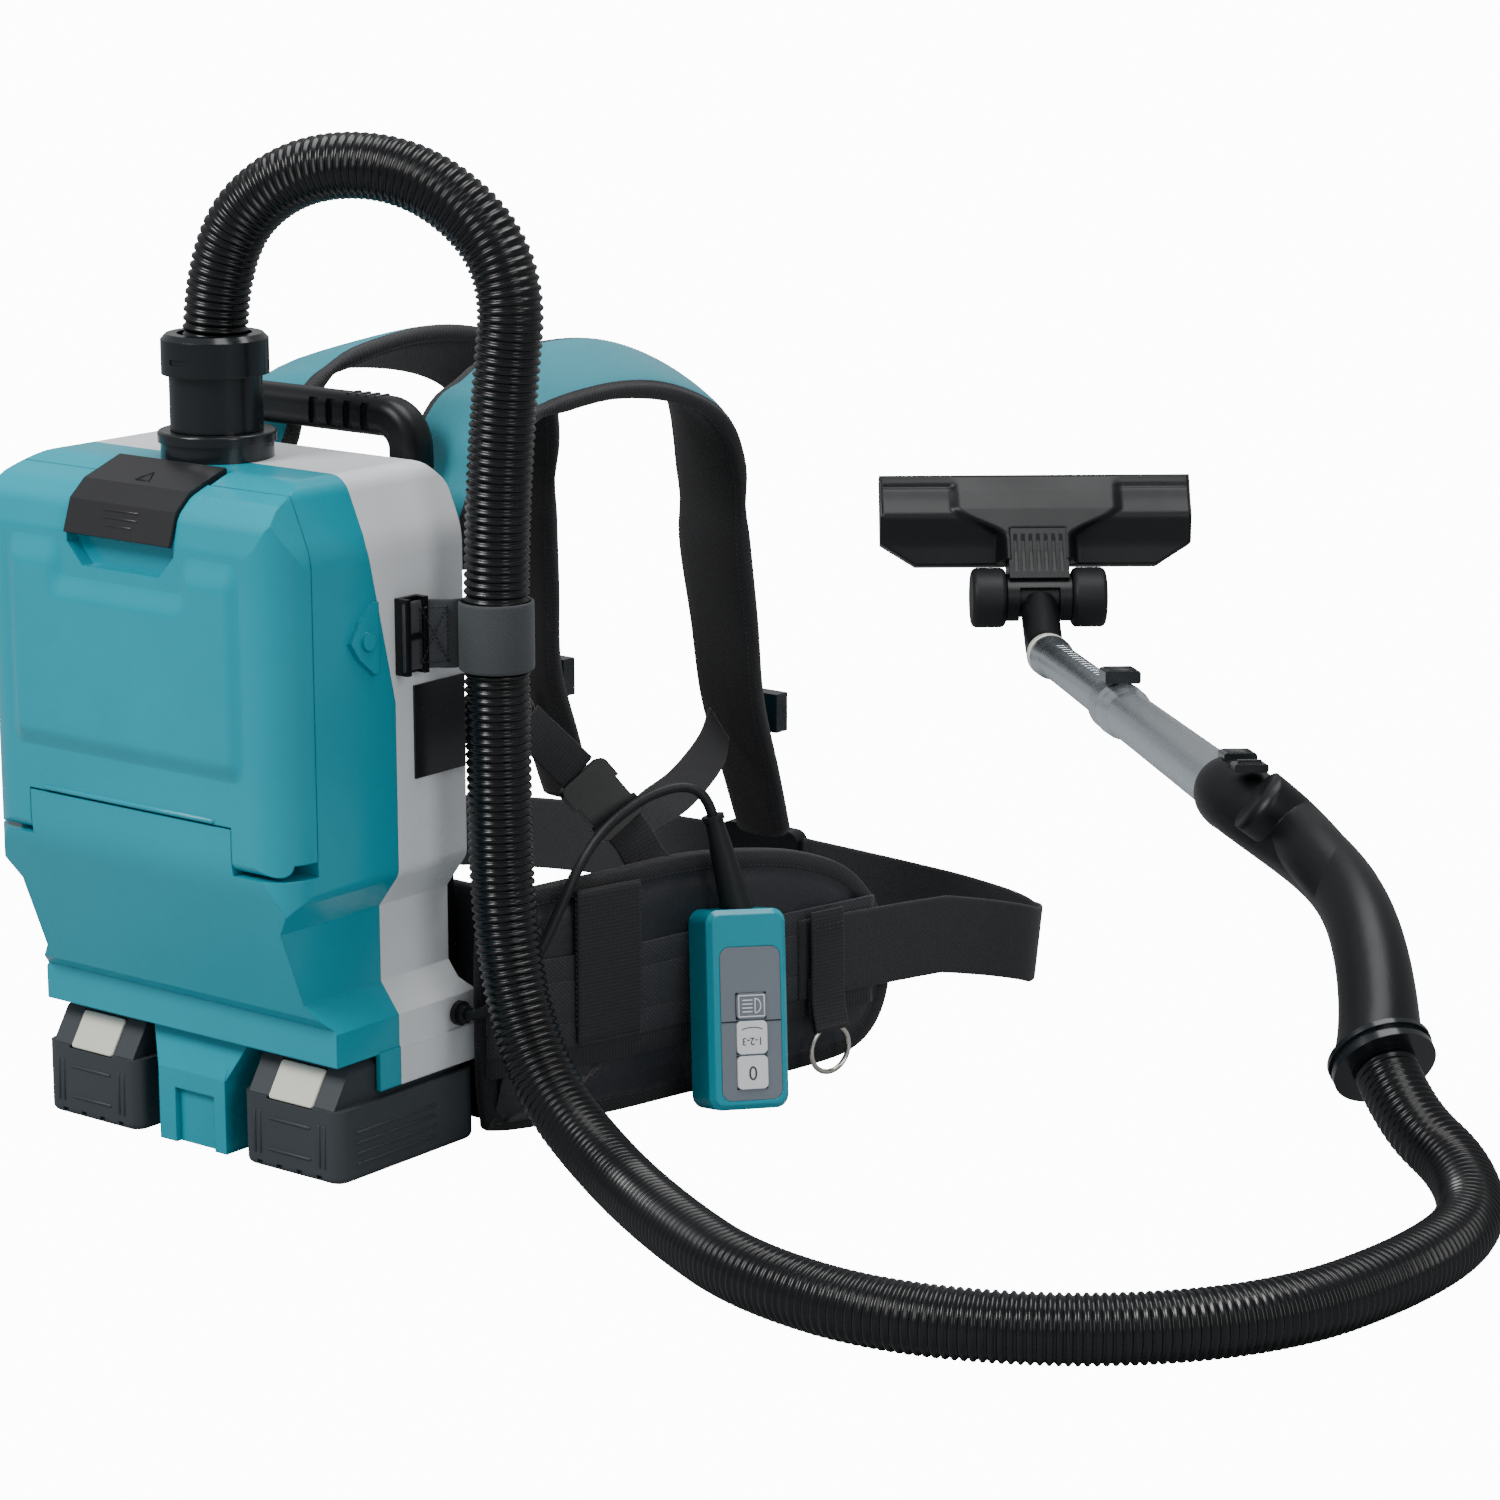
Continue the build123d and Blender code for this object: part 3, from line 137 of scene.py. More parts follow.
def curve_line(route, resolution):
    """Points read from the NURBS spline that has this route as its control points."""
    data = bpy.data.curves.new("route", "CURVE")
    data.dimensions = "3D"
    fill_spline(data, route, resolution)
    obj = link(bpy.data.objects.new("route", data))
    bpy.context.view_layer.update()
    me = bpy.data.meshes.new_from_object(obj.evaluated_get(bpy.context.evaluated_depsgraph_get()))
    pts = np.array([v.co[:] for v in me.vertices])
    bpy.data.objects.remove(obj)
    bpy.data.curves.remove(data)
    bpy.data.meshes.remove(me)
    return pts


def fill_spline(data, route, resolution):
    spline = data.splines.new("NURBS")
    spline.points.add(len(route) - 1)
    for point, place in zip(spline.points, route):
        point.co = (*place, 1.0)
    spline.order_u = 3
    spline.use_endpoint_u = True
    spline.resolution_u = resolution


def even(points, step):
    """The same line in equal steps."""
    d = np.r_[0, np.cumsum(np.linalg.norm(np.diff(points, axis=0), axis=1))]
    n = max(2, int(round(d[-1] / step)))
    s = np.linspace(0, d[-1], n + 1)
    return np.column_stack([np.interp(s, d, points[:, i]) for i in range(3)])


def frames(points):
    """Tangent and two steady cross directions along a line."""
    t = unit(np.gradient(points, axis=0))
    n = np.zeros_like(t)
    ref = np.array([0, 0, 1.0]) if abs(t[0][2]) < 0.9 else np.array([1.0, 0, 0])
    n[0] = unit(ref - t[0] * ref.dot(t[0]))
    for i in range(1, len(t)):
        v = n[i - 1] - t[i] * n[i - 1].dot(t[i])
        n[i] = unit(v)
    return t, n, np.cross(t, n)


def tube(name, points, radii, mat, sides):
    """Closed round tube along points with a radius at each."""
    t, n, b = frames(points)
    ang = np.linspace(0, 2 * np.pi, sides, endpoint=False)
    ring = np.cos(ang)[None, :, None] * n[:, None] + np.sin(ang)[None, :, None] * b[:, None]
    verts = (points[:, None] + ring * np.asarray(radii)[:, None, None]).reshape(-1, 3)
    faces = ring_faces(len(points), sides)
    faces.append(tuple(range(sides))[::-1])
    faces.append(tuple((len(points) - 1) * sides + k for k in range(sides)))
    return mesh_object(name, verts, faces, mat)


TAPE_PROFILE = [(-1, 0), (-0.97, 0.8), (-0.9, 1), (0.9, 1), (0.97, 0.8), (1, 0),
                (0.97, -0.8), (0.9, -1), (-0.9, -1), (-0.97, -0.8)]


def ribbon(name, centre, across, normal, half_w, half_t, mat, profile=TAPE_PROFILE, mats=None, split=None):
    """A band along a line: at each place it lies across, with its thickness along normal.
    profile is a closed list of (across, thickness) from -1 to 1, and split the material of each of its sides."""
    centre, across, normal = np.asarray(centre), unit(across), unit(normal)
    n = len(centre)
    half_w = np.broadcast_to(half_w, n)
    half_t = np.broadcast_to(half_t, n)
    prof = np.array(profile)
    m = len(prof)
    verts = (centre[:, None] + across[:, None] * (prof[None, :, 0] * half_w[:, None])[..., None]
             + normal[:, None] * (prof[None, :, 1] * half_t[:, None])[..., None]).reshape(-1, 3)
    run = np.r_[0, np.cumsum(np.linalg.norm(np.diff(centre, axis=0), axis=1))]
    uv = np.stack([np.repeat(run, m), (prof[None, :, 0] * half_w[:, None]).reshape(-1)], axis=1)
    faces, idx = [], []
    for i in range(n - 1):
        for k in range(m):
            k2 = (k + 1) % m
            faces.append((i * m + k, (i + 1) * m + k, (i + 1) * m + k2, i * m + k2))
            idx.append(split[k] if split else 0)
    faces.append(tuple(range(m))[::-1])
    faces.append(tuple((n - 1) * m + k for k in range(m)))
    idx += [0, 0]
    return clean(mesh_object(name, verts, faces, mat, uvs=uv, mats=mats, face_mats=idx))


def stitches(name, line, normal, mat, pitch=3.2 * MM, length=2.2 * MM, r=0.35 * MM, lift=0.15 * MM):
    """A row of thread stitches lying on a surface along a line."""
    line = np.asarray(line)
    d = np.r_[0, np.cumsum(np.linalg.norm(np.diff(line, axis=0), axis=1))]
    places = np.arange(pitch / 2, d[-1], pitch)
    pos = np.column_stack([np.interp(places, d, line[:, i]) for i in range(3)])
    tan = unit(np.column_stack([np.interp(places, d, np.gradient(line, axis=0)[:, i]) for i in range(3)]))
    nor = np.asarray(normal, float)
    if nor.ndim == 1:
        nor = np.broadcast_to(nor, line.shape)
    nor = unit(np.column_stack([np.interp(places, d, nor[:, i]) for i in range(3)]))
    side = np.cross(tan, nor)
    verts, faces = [], []
    for p, t, n, s in zip(pos, tan, nor, side):
        base = len(verts)
        for u, w, h in ((-1, 0.5, -0.2), (-0.6, 1, 0.8), (0.6, 1, 0.8), (1, 0.5, -0.2)):
            c = p + t * (u * length / 2) + n * lift
            verts += [c - s * r * w - n * r, c + n * r * h, c + s * r * w - n * r]
        for i in range(3):
            a = base + 3 * i
            faces += [(a, a + 3, a + 4, a + 1), (a + 1, a + 4, a + 5, a + 2)]
    return mesh_object(name, verts, faces, mat)


def mirrored(obj, name):
    """The same piece on the other side of the object."""
    me = obj.data.copy()
    me.name = name
    me.transform(Matrix.Scale(-1, 4, Vector((1, 0, 0))))
    me.flip_normals()
    return link(bpy.data.objects.new(name, me))


def settle(obj, body="frame", replaces=()):
    """Put a finished piece on its body, in place of the CAD nodes that it stands for."""
    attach(obj, body)
    if replaces:
        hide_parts(*replaces)
    return obj


# ------------------------------------------------------------------ materials
class Graph:
    """A small shader graph writer."""

    def __init__(self, name, coords="Object"):
        self.mat = bpy.data.materials.new(name)
        self.mat.use_nodes = True
        self.tree = self.mat.node_tree
        self.shader = self.tree.nodes["Principled BSDF"]
        tc = self.tree.nodes.new("ShaderNodeTexCoord")
        self.space = tc.outputs[coords]

    def node(self, kind, inputs=None, **settings):
        n = self.tree.nodes.new(kind)
        for k, v in settings.items():
            setattr(n, k, v)
        for k, v in (inputs or {}).items():
            if isinstance(v, bpy.types.NodeSocket):
                self.tree.links.new(v, n.inputs[k])
            else:
                n.inputs[k].default_value = v
        return n

    def noise(self, scale, detail=3.0, rough=0.55, vector=None):
        return self.node("ShaderNodeTexNoise", {"Vector": vector or self.space, "Scale": scale,
                                                "Detail": detail, "Roughness": rough}).outputs["Fac"]

    def span(self, value, low, high, from_low=0.3, from_high=0.7):
        return self.node("ShaderNodeMapRange", {"Value": value, "From Min": from_low, "From Max": from_high,
                                                "To Min": low, "To Max": high}).outputs["Result"]

    def math(self, op, a, b=0.0):
        return self.node("ShaderNodeMath", {0: a, 1: b}, operation=op).outputs[0]

    def colour_mix(self, fac, a, b):
        n = self.node("ShaderNodeMix", data_type="RGBA")
        for sock, v in ((n.inputs[0], fac), (n.inputs[6], a), (n.inputs[7], b)):
            if isinstance(v, bpy.types.NodeSocket):
                self.tree.links.new(v, sock)
            else:
                sock.default_value = v
        return n.outputs[2]

    def bump(self, height, strength, distance, normal=None):
        ins = {"Height": height, "Strength": strength, "Distance": distance}
        if normal is not None:
            ins["Normal"] = normal
        return self.node("ShaderNodeBump", ins).outputs["Normal"]

    def set(self, **values):
        for k, v in values.items():
            name = k.replace("_", " ")
            if isinstance(v, bpy.types.NodeSocket):
                self.tree.links.new(v, self.shader.inputs[name])
            else:
                self.shader.inputs[name].default_value = v
        return self


def rgb(r, g, b):
    """Display colour, 0 to 255, as linear light."""
    def lin(c):
        c /= 255.0
        return c / 12.92 if c <= 0.04045 else ((c + 0.055) / 1.055) ** 2.4
    return (lin(r), lin(g), lin(b), 1.0)


def shade(colour, times):
    """The colour made lighter or darker."""
    return tuple(min(1.0, c * times) for c in colour[:3]) + (1,)


def plastic(name, colour, rough, grain, edge, coat=0.0, wear=0.03):
    """Moulded plastic: soft tone changes, scuffs by wear, a grain in mm and edges rounded to edge."""
    g = Graph(name)
    soft = g.noise(9.0, 4.0)
    fine = g.noise(420.0, 2.0)
    scuff = g.noise(38.0, 6.0, 0.7)
    r = g.math("ADD", g.span(soft, rough - 0.05, rough + 0.07),
               g.math("MULTIPLY", g.span(scuff, 0, 1, 0.6, 0.72), wear))
    g.set(Base_Color=g.colour_mix(g.span(soft, 0, 1), colour, shade(colour, 0.9)), Roughness=r,
          Coat_Weight=coat, Coat_Roughness=0.12, Specular_IOR_Level=0.4 if max(colour[:3]) > 0.05 else 0.27)
    rounded = g.node("ShaderNodeBevel", {"Radius": edge}, samples=3).outputs["Normal"]
    grain_height = g.noise(1400.0, 1.0)
    n1 = g.bump(grain_height, 0.35, grain * MM, rounded)
    g.set(Normal=g.bump(fine, 0.05, 0.03 * MM, n1))
    return g.mat


def metal(name, colour, rough):
    """Satin metal with fine relief and faint patches."""
    g = Graph(name)
    brushed = g.noise(260.0, 3.0, 0.6)
    patch = g.noise(14.0, 3.0)
    g.set(Metallic=1.0, Base_Color=g.colour_mix(g.span(patch, 0, 0.1), colour, shade(colour, 0.8)),
          Roughness=g.math("ADD", g.span(brushed, rough - 0.03, rough + 0.04), g.span(patch, 0.0, 0.02)))
    rounded = g.node("ShaderNodeBevel", {"Radius": 0.6 * MM}, samples=3).outputs["Normal"]
    g.set(Normal=g.bump(brushed, 0.02, 0.02 * MM, rounded))
    return g.mat


def woven(name, colour, lift, pitch, kind, rough=0.75, sheen=0.1, bump=0.5):
    """Woven tape or cloth in UV metres: kind is twill, plain or rib, lift how much lighter its high threads are, as
    painted highlight, with painted shade on the low threads.
    """
    g = Graph(name, "UV")
    sep = g.node("ShaderNodeSeparateXYZ", {"Vector": g.space})
    u, v = sep.outputs["X"], sep.outputs["Y"]

    def wave(value, times=1.0):
        return g.math("SINE", g.math("MULTIPLY", value, 2 * math.pi / pitch * times))

    if kind == "plain":
        h = g.math("MULTIPLY", wave(u), wave(v))
    else:
        warp, weft, share = ((wave(g.math("ADD", u, v)), wave(v, 2.0), 0.6) if kind == "twill"
                             else (wave(u), wave(v, 0.8), 0.8))
        h = g.math("ADD", g.math("MULTIPLY", warp, share), g.math("MULTIPLY", weft, 1 - share))
    height = g.span(h, 0, 1, -1, 1)
    tc = g.node("ShaderNodeTexCoord").outputs["Object"]
    blotch = g.noise(22.0, 4.0, 0.6, tc)
    fuzz = g.noise(1500.0, 2.0, 0.6, tc)
    # painted light: the high threads take a painted highlight and the low threads painted shade, from the weave height
    base = g.colour_mix(height, shade(colour, 0.55), shade(colour, lift))
    base = g.colour_mix(g.span(blotch, 0, 0.35), base, shade(colour, 0.7))
    g.set(Base_Color=base, Roughness=g.span(fuzz, rough - 0.08, rough + 0.1), Sheen_Weight=sheen,
          Sheen_Roughness=0.5)
    n1 = g.bump(height, bump, 0.35 * MM)
    g.set(Normal=g.bump(fuzz, 0.25, 0.12 * MM, n1))
    return g.mat


def cloth(name, colour, rough, sheen, crease, weave=900.0):
    """Plain cloth over padding in object space, with soft creases, painted darker in their hollows and lighter on
    their raised folds as painted shade and painted highlight.
    """
    g = Graph(name)
    fold_and_painted_shade = g.noise(28.0, 5.0, 0.62)
    fine = g.noise(weave, 2.0)
    sep = g.node("ShaderNodeSeparateXYZ", {"Vector": g.space})
    f = 2 * math.pi / (0.9 * MM)
    wy = g.math("SINE", g.math("MULTIPLY", g.math("ADD", sep.outputs["Y"], sep.outputs["X"]), f))
    wz = g.math("SINE", g.math("MULTIPLY", sep.outputs["Z"], f))
    weft = g.span(g.math("MULTIPLY", wy, wz), 0, 1, -1, 1)
    # painted shade in the creases and painted highlight on the raised folds, from the fold height that also drives the
    # bump
    g.set(Base_Color=g.colour_mix(g.span(fold_and_painted_shade, 0, 1), colour, shade(colour, 1.3)),
          Roughness=g.span(fine, rough - 0.08, rough + 0.08), Sheen_Weight=sheen, Sheen_Roughness=0.45)
    n1 = g.bump(fold_and_painted_shade, crease, 3.0 * MM)
    n2 = g.bump(weft, 0.35, 0.15 * MM, n1)
    g.set(Normal=g.bump(fine, 0.2, 0.1 * MM, n2))
    return g.mat


M = {
    "teal": plastic("teal_shell", rgb(0, 154, 174), 0.22, 0.02, 1.2 * MM, coat=0.06, wear=0.0),
    "pale": plastic("pale_shell", rgb(226, 230, 233), 0.3, 0.02, 1.2 * MM, coat=0.2, wear=0.0),
    "black": plastic("black_plastic", rgb(13, 16, 18), 0.36, 0.06, 0.8 * MM),
    "gloss_black": plastic("gloss_black_plastic", rgb(24, 28, 31), 0.24, 0.02, 0.8 * MM, coat=0.3),
    "grey": plastic("battery_grey", rgb(54, 60, 64), 0.46, 0.12, 0.9 * MM),
    "latch": plastic("latch_grey", rgb(38, 38, 40), 0.33, 0.03, 0.8 * MM, coat=0.2),
    "ivory": plastic("ivory_button", rgb(226, 224, 212), 0.35, 0.03, 0.6 * MM),
    "panel": plastic("remote_grey", rgb(118, 126, 136), 0.4, 0.03, 0.3 * MM),
    "white_key": plastic("key_white", rgb(238, 241, 244), 0.35, 0.02, 0.4 * MM),
    "print_grey": plastic("printed_grey", rgb(62, 68, 74), 0.5, 0.02, 0.1 * MM),
    "print_white": plastic("printed_white", rgb(240, 242, 244), 0.5, 0.02, 0.1 * MM),
    "hose": plastic("hose_black", rgb(13, 14, 16), 0.25, 0.02, 0.3 * MM, coat=0.15),
    "rubber": plastic("cable_rubber", rgb(26, 30, 31), 0.5, 0.08, 0.4 * MM),
    "tyre": plastic("wheel_rubber", rgb(20, 22, 25), 0.5, 0.1, 0.6 * MM),
    "filter": cloth("filter_paper", rgb(230, 226, 214), 0.9, 0.1, 0.3),
    "steel": metal("satin_steel", rgb(204, 214, 221), 0.25),
    "chrome": metal("chrome", rgb(214, 208, 198), 0.12),
    "board": plastic("board_green", rgb(30, 96, 52), 0.5, 0.05, 0.2 * MM),
    "web": woven("black_web", rgb(24, 25, 28), 1.7, 2.2 * MM, "rib"),
    "web_fine": woven("belt_web", rgb(33, 34, 38), 1.6, 1.9 * MM, "plain", bump=0.6),
    "binding": woven("binding_tape", rgb(20, 21, 24), 1.7, 2.6 * MM, "twill", bump=0.6),
    "band": woven("belt_band", rgb(40, 42, 46), 1.6, 2.6 * MM, "twill", bump=0.7),
    "strap": woven("hose_strap_web", rgb(58, 61, 64), 1.5, 1.7 * MM, "plain", bump=0.5),
    "teal_cloth": woven("teal_cloth", rgb(0, 136, 154), 1.12, 1.1 * MM, "plain", 0.7, 0.15, 0.25),
    "inner_cloth": woven("inner_mesh", rgb(17, 17, 20), 1.5, 1.8 * MM, "plain", 0.8, 0.08, 0.5),
    "pad_cloth": cloth("pad_satin", rgb(22, 24, 30), 0.5, 0.15, 0.8),
    "thread": plastic("thread", rgb(52, 54, 60), 0.7, 0.05, 0.1 * MM),
    "bristle": cloth("bristle", rgb(24, 24, 26), 0.9, 0.1, 0.2, 2500.0),
}

# the CAD nodes that stay visible, or are seen when something opens, by the material that they take
NODE_LOOK = {
    "teal": "front_housing front_cover remote_case",
    "pale": "rear_housing",
    "black": "battery_terminals back_plate carry_handle hose_bracket wand_handle neck_elbow floor_head "
             "strap_buckle_left strap_buckle_right waist_buckle",
    "gloss_black": "inlet_socket hose_cuff side_badge wand_button air_slider tube_lock strap_clips hose_end_ring",
    "grey": "motor fan_impeller battery_left battery_right",
    "latch": "cover_latch",
    "ivory": "battery_button_left battery_button_right",
    "panel": "remote_panel light_key",
    "white_key": "speed_key stop_key",
    "rubber": "cable_relief cable_gland",
    "tyre": "head_wheel_left head_wheel_right",
    "filter": "dust_bag hepa_filter",
    "steel": "outer_tube inner_tube housing_screws",
    "chrome": "d_rings accessory_ring",
    "board": "control_board",
    "bristle": "sole_brush",
}
for look, names in NODE_LOOK.items():
    for name in names.split():
        nodes[name].data.materials.clear()
        nodes[name].data.materials.append(M[look])

# ------------------------------------------------------------------ cords
HOSE_D, HOSE_PITCH, HOSE_GROOVE = 36 * MM, 4.5 * MM, 1.7 * MM
GROOVE_SHAPE = np.array([0.0, -0.15, -0.75, -1.0, -0.75, -0.15])    # over one pitch
HOSE_ROUTE = [
    (0, -22, 435), (0, -22, 500), (45, -6, 547), (115, 18, 548), (167, 36, 500), (159, 32.6, 420),
    (154, 31, 340), (154, 31, 232), (156, 31, 123), (185, 27, 51), (244, 13, 18.2), (331, -39, 18.2),
    (407, -74, 18.2), (496, -78, 18.2), (586, -32, 18.2), (647, 43, 18.2), (664, 138, 18.2),
    (658, 217, 19), (625, 262, 30), (584, 275, 46), (560, 293, 66)]
hose_route = [tuple(c * MM for c in p) for p in HOSE_ROUTE]
hose_line = even(curve_line(hose_route, 24), HOSE_PITCH / len(GROOVE_SHAPE))
rise = GROOVE_SHAPE[np.arange(len(hose_line)) % len(GROOVE_SHAPE)]
hose = tube("ribbed_hose", hose_line, HOSE_D / 2 + rise * HOSE_GROOVE, M["hose"], 28)
settle(hose, replaces=["suction_hose"])

CABLE_D = 6.2 * MM
CABLE_ROUTE = [(178.37, 188.18, 170.08), (176.37, 187.1, 178.73), (169.5, 181.5, 187), (160.5, 170.5, 187),
               (152, 152, 181), (145.5, 128, 168), (154, 96.5, 154), (151.5, 80, 127), (148, 66, 105),
               (136.5, 50, 87), (130, 40, 76), (120.9, 40, 76)]
cable_route = [tuple(c * MM for c in p) for p in CABLE_ROUTE]
cable_data = bpy.data.curves.new("remote_lead", "CURVE")
cable_data.dimensions = "3D"
fill_spline(cable_data, cable_route, 14)
cable_data.bevel_depth = CABLE_D / 2
cable_data.bevel_resolution = 5
cable_data.use_fill_caps = True
cable_data.materials.append(M["rubber"])
cable = link(bpy.data.objects.new("remote_lead", cable_data))
settle(cable, replaces=["remote_cable"])

# ------------------------------------------------------------------ shoulder pads
SHOULDER = [(66, 324), (67, 346), (80, 371), (93, 393), (128, 410), (190, 417), (250, 410), (296, 390),
            (314, 356), (318, 300), (326, 250), (333, 200), (352, 150), (366, 112)]
# inner and outer edge of the pad at each place along it
SHOULDER_X = [(50, 104), (50, 106), (47, 109), (45, 111), (43, 112), (42, 112), (43, 111), (45, 110),
              (46, 109), (50, 107), (54, 105), (58, 103), (59, 101), (61, 98)]


# how far the pad is turned toward TURNED at each place along it, and where it is pinched
PAD_TURN = [0, 0.25, 0.6, 0.9, 1, 1, 1, 0.9, 0.6, 0.35, 0.15, 0, 0, 0]
TURNED = unit([68, -26, -22])
PINCHES, PINCH_REACH = (0.3, 0.66), 0.018
PAD_HALF_T = 8.2 * MM
BOUND_EDGE = [(1.0, 0.0), (0.985, 0.42), (0.93, 0.56), (0.86, 0.6)]     # (across, thickness)


def pad_profile():
    """Crowned cross-section of a padded strap, and its sides: 0 outer cloth, 1 inner cloth, 2 binding."""
    crown = [(a, 0.62 + 0.38 * (1 - (a / 0.86) ** 2) ** 0.6) for a in np.linspace(-0.82, 0.82, 11)]
    upper = [(-a, h) for a, h in BOUND_EDGE] + crown + BOUND_EDGE[::-1]
    lower = [(a, -h) for a, h in upper[-2:0:-1]]
    return upper + lower, [2] * 4 + [0] * 10 + [2] * 8 + [1] * 10 + [2] * 4


yz = catmull(np.array(SHOULDER, float) * MM, 7)
xs = catmull(np.array(SHOULDER_X, float) * MM, 7)
centre = np.column_stack([(xs[:, 0] + xs[:, 1]) / 2, yz])
tangent = unit(np.gradient(centre, axis=0))
tilt = catmull([[w] for w in PAD_TURN], 7)
across = unit((1 - tilt) * np.array([1.0, 0, 0]) + tilt * TURNED)
across = unit(across - tangent * np.sum(across * tangent, axis=1, keepdims=True))
outward = np.cross(across, tangent)
along = np.linspace(0, 1, len(centre))
pinch = sum(np.exp(-((along - c) / PINCH_REACH) ** 2) for c in PINCHES)
half_w = (xs[:, 1] - xs[:, 0]) / 2 * (1 - 0.06 * pinch)
half_t = PAD_HALF_T * (1 - 0.42 * pinch) * (0.93 + 0.07 * np.cos(along * 44))
profile, kinds = pad_profile()
pad = ribbon("shoulder_pad_right_cloth", centre, across, outward, half_w, half_t, None, profile,
             [M["teal_cloth"], M["inner_cloth"], M["binding"]], split=kinds)
# binding seams: a stitched line each side, on both faces
seams = []
for s in (-1, 1):
    for face in (-1, 1):
        run = centre + across * (s * half_w * 0.84)[:, None] + outward * (face * 0.66 * half_t)[:, None]
        seams.append(stitches("pad_stitch_%d%d" % (s + 1, face + 1), run, outward * face, M["thread"]))
for side_name in ("right", "left"):
    obj = pad if side_name == "right" else mirrored(pad, "shoulder_pad_left_cloth")
    settle(obj, replaces=["shoulder_pad_" + side_name])
    for s in seams:
        piece = s if side_name == "right" else mirrored(s, s.name + "_left")
        settle(piece)

# ------------------------------------------------------------------ waist pads
WING = [(112, 40), (146.5, 118), (162, 186.5), (181, 246), (204, 342)]
wing_line = catmull(np.array(WING, float) * MM, 16)
wing_d = np.r_[0, np.cumsum(np.linalg.norm(np.diff(wing_line, axis=0), axis=1))]


def wing_at(s, z, out=0.0):
    """Point at distance s along the waist pad's middle, height z, out from its middle."""
    s = np.clip(s, 0, wing_d[-1])
    x, y = (np.interp(s, wing_d, wing_line[:, i]) for i in (0, 1))
    g = np.gradient(wing_line, wing_d, axis=0)
    t = unit(np.stack([np.interp(s, wing_d, g[:, 0]), np.interp(s, wing_d, g[:, 1])], axis=-1))
    return np.stack([x + t[..., 1] * out, y - t[..., 0] * out, np.broadcast_to(z, np.shape(x))], axis=-1)


# outline of the pad in (distance, height), anticlockwise from the lower front corner
OUTLINE = [(24, 3), (90, 3), (170, 2.5), (240, 3), (276, 8), (296, 26), (303, 56), (296, 88), (272, 118),
           (238, 134), (200, 142), (150, 146), (90, 145), (40, 141), (16, 132), (12, 70), (14, 14)]


OUTLINE_STEPS = 6
PAD_MIDDLE = np.array([155, 72]) * MM
# rings of the pad from its edge inward: (distance in, distance out from the middle surface, 2 binding or 0 cloth)
PAD_RINGS = [(0.0, 0.0, 2), (0.3 * MM, 3.2 * MM, 2), (1.2 * MM, 4.6 * MM, 2), (10.5 * MM, 5.0 * MM, 2),
             (11.5 * MM, 4.4 * MM, 0), (16 * MM, 6.4 * MM, 0), (24 * MM, 7.6 * MM, 0), (36 * MM, 8.0 * MM, 0)]
BELT_OUT, BELT_ALONG = unit([0.97, -0.24, 0]), unit([0.24, 0.97, 0])


def outline_points(shrink=0.0):
    """The outline as a smooth closed run, moved inward by shrink."""
    p, per = np.array(OUTLINE, float) * MM, OUTLINE_STEPS
    p = catmull(np.vstack([p[-2:], p, p[:3]]), per)[2 * per:-2 * per - 1]
    t = unit(np.roll(p, -1, axis=0) - np.roll(p, 1, axis=0))
    return p + np.column_stack([-t[:, 1], t[:, 0]]) * shrink


def waist_pad():
    """Padded panel: rings from its bound edge to its middle, on both faces."""
    verts, faces, idx, uvs = [], [], [], []
    base = outline_points()
    n = len(base)
    length = np.r_[0, np.cumsum(np.linalg.norm(np.diff(base, axis=0), axis=1))]
    deepest, swell, _ = PAD_RINGS[-1]
    inner = outline_points(deepest)

    def add_ring(pts, out, uv):
        verts.extend(wing_at(pts[:, 0], pts[:, 1], out))
        uvs.extend(uv)
        return len(verts) - len(pts)

    for sign, cloth_kind in ((1, 0), (-1, 1)):
        rows = []
        for shrink, out, kind in PAD_RINGS:
            pts = outline_points(shrink)
            uv = np.column_stack([length, np.full(n, shrink)]) if kind == 2 else pts
            rows.append((add_ring(pts, sign * out, uv), kind or cloth_kind))
        for f in (0.66, 0.33):
            pts = PAD_MIDDLE + (inner - PAD_MIDDLE) * f
            rows.append((add_ring(pts, sign * swell, pts), cloth_kind))
        centre_point = add_ring(np.array([PAD_MIDDLE]), sign * swell, np.array([PAD_MIDDLE]))
        for (a, _), (b, kind) in zip(rows, rows[1:]):
            for i in range(n):
                j = (i + 1) % n
                faces.append((a + i, a + j, b + j, b + i)[::sign])
                idx.append(kind)
        last = rows[-1][0]
        for i in range(n):
            faces.append((last + i, last + (i + 1) % n, centre_point)[::sign])
            idx.append(cloth_kind)
    pad = mesh_object("waist_pad_right_cloth", verts, faces, uvs=np.array(uvs),
                      mats=[M["pad_cloth"], M["inner_cloth"], M["binding"]], face_mats=idx)
    return clean(pad, 0.01 * MM)


def wing_band(name, s0, s1, z0, z1, mat, out, thick):
    """Webbing sewn along the outer face of the waist pad."""
    s = np.linspace(s0 * MM, s1 * MM, 60)
    c = wing_at(s, (z0 + z1) / 2 * MM, out * MM)
    up = np.tile([0, 0, 1.0], (len(s), 1))
    normal = np.cross(unit(np.gradient(c, axis=0)), up)
    return ribbon(name, c, up, normal, (z1 - z0) / 2 * MM, thick * MM, mat)


def wing_post(name, s0, width, z0, z1, mat, out, thick):
    """Webbing sewn up and down the waist pad, standing a little off the bands below it."""
    z = np.linspace(z0 * MM, z1 * MM, 24)
    c = wing_at(np.full(len(z), s0 * MM), z, out * MM)
    ahead, here = wing_at(np.array([s0 * MM + 10 * MM, s0 * MM]), 0.0)
    g = unit(ahead - here)
    return ribbon(name, c, np.tile(g, (len(z), 1)), np.tile([g[1], -g[0], 0], (len(z), 1)),
                  width / 2 * MM, thick * MM, mat)


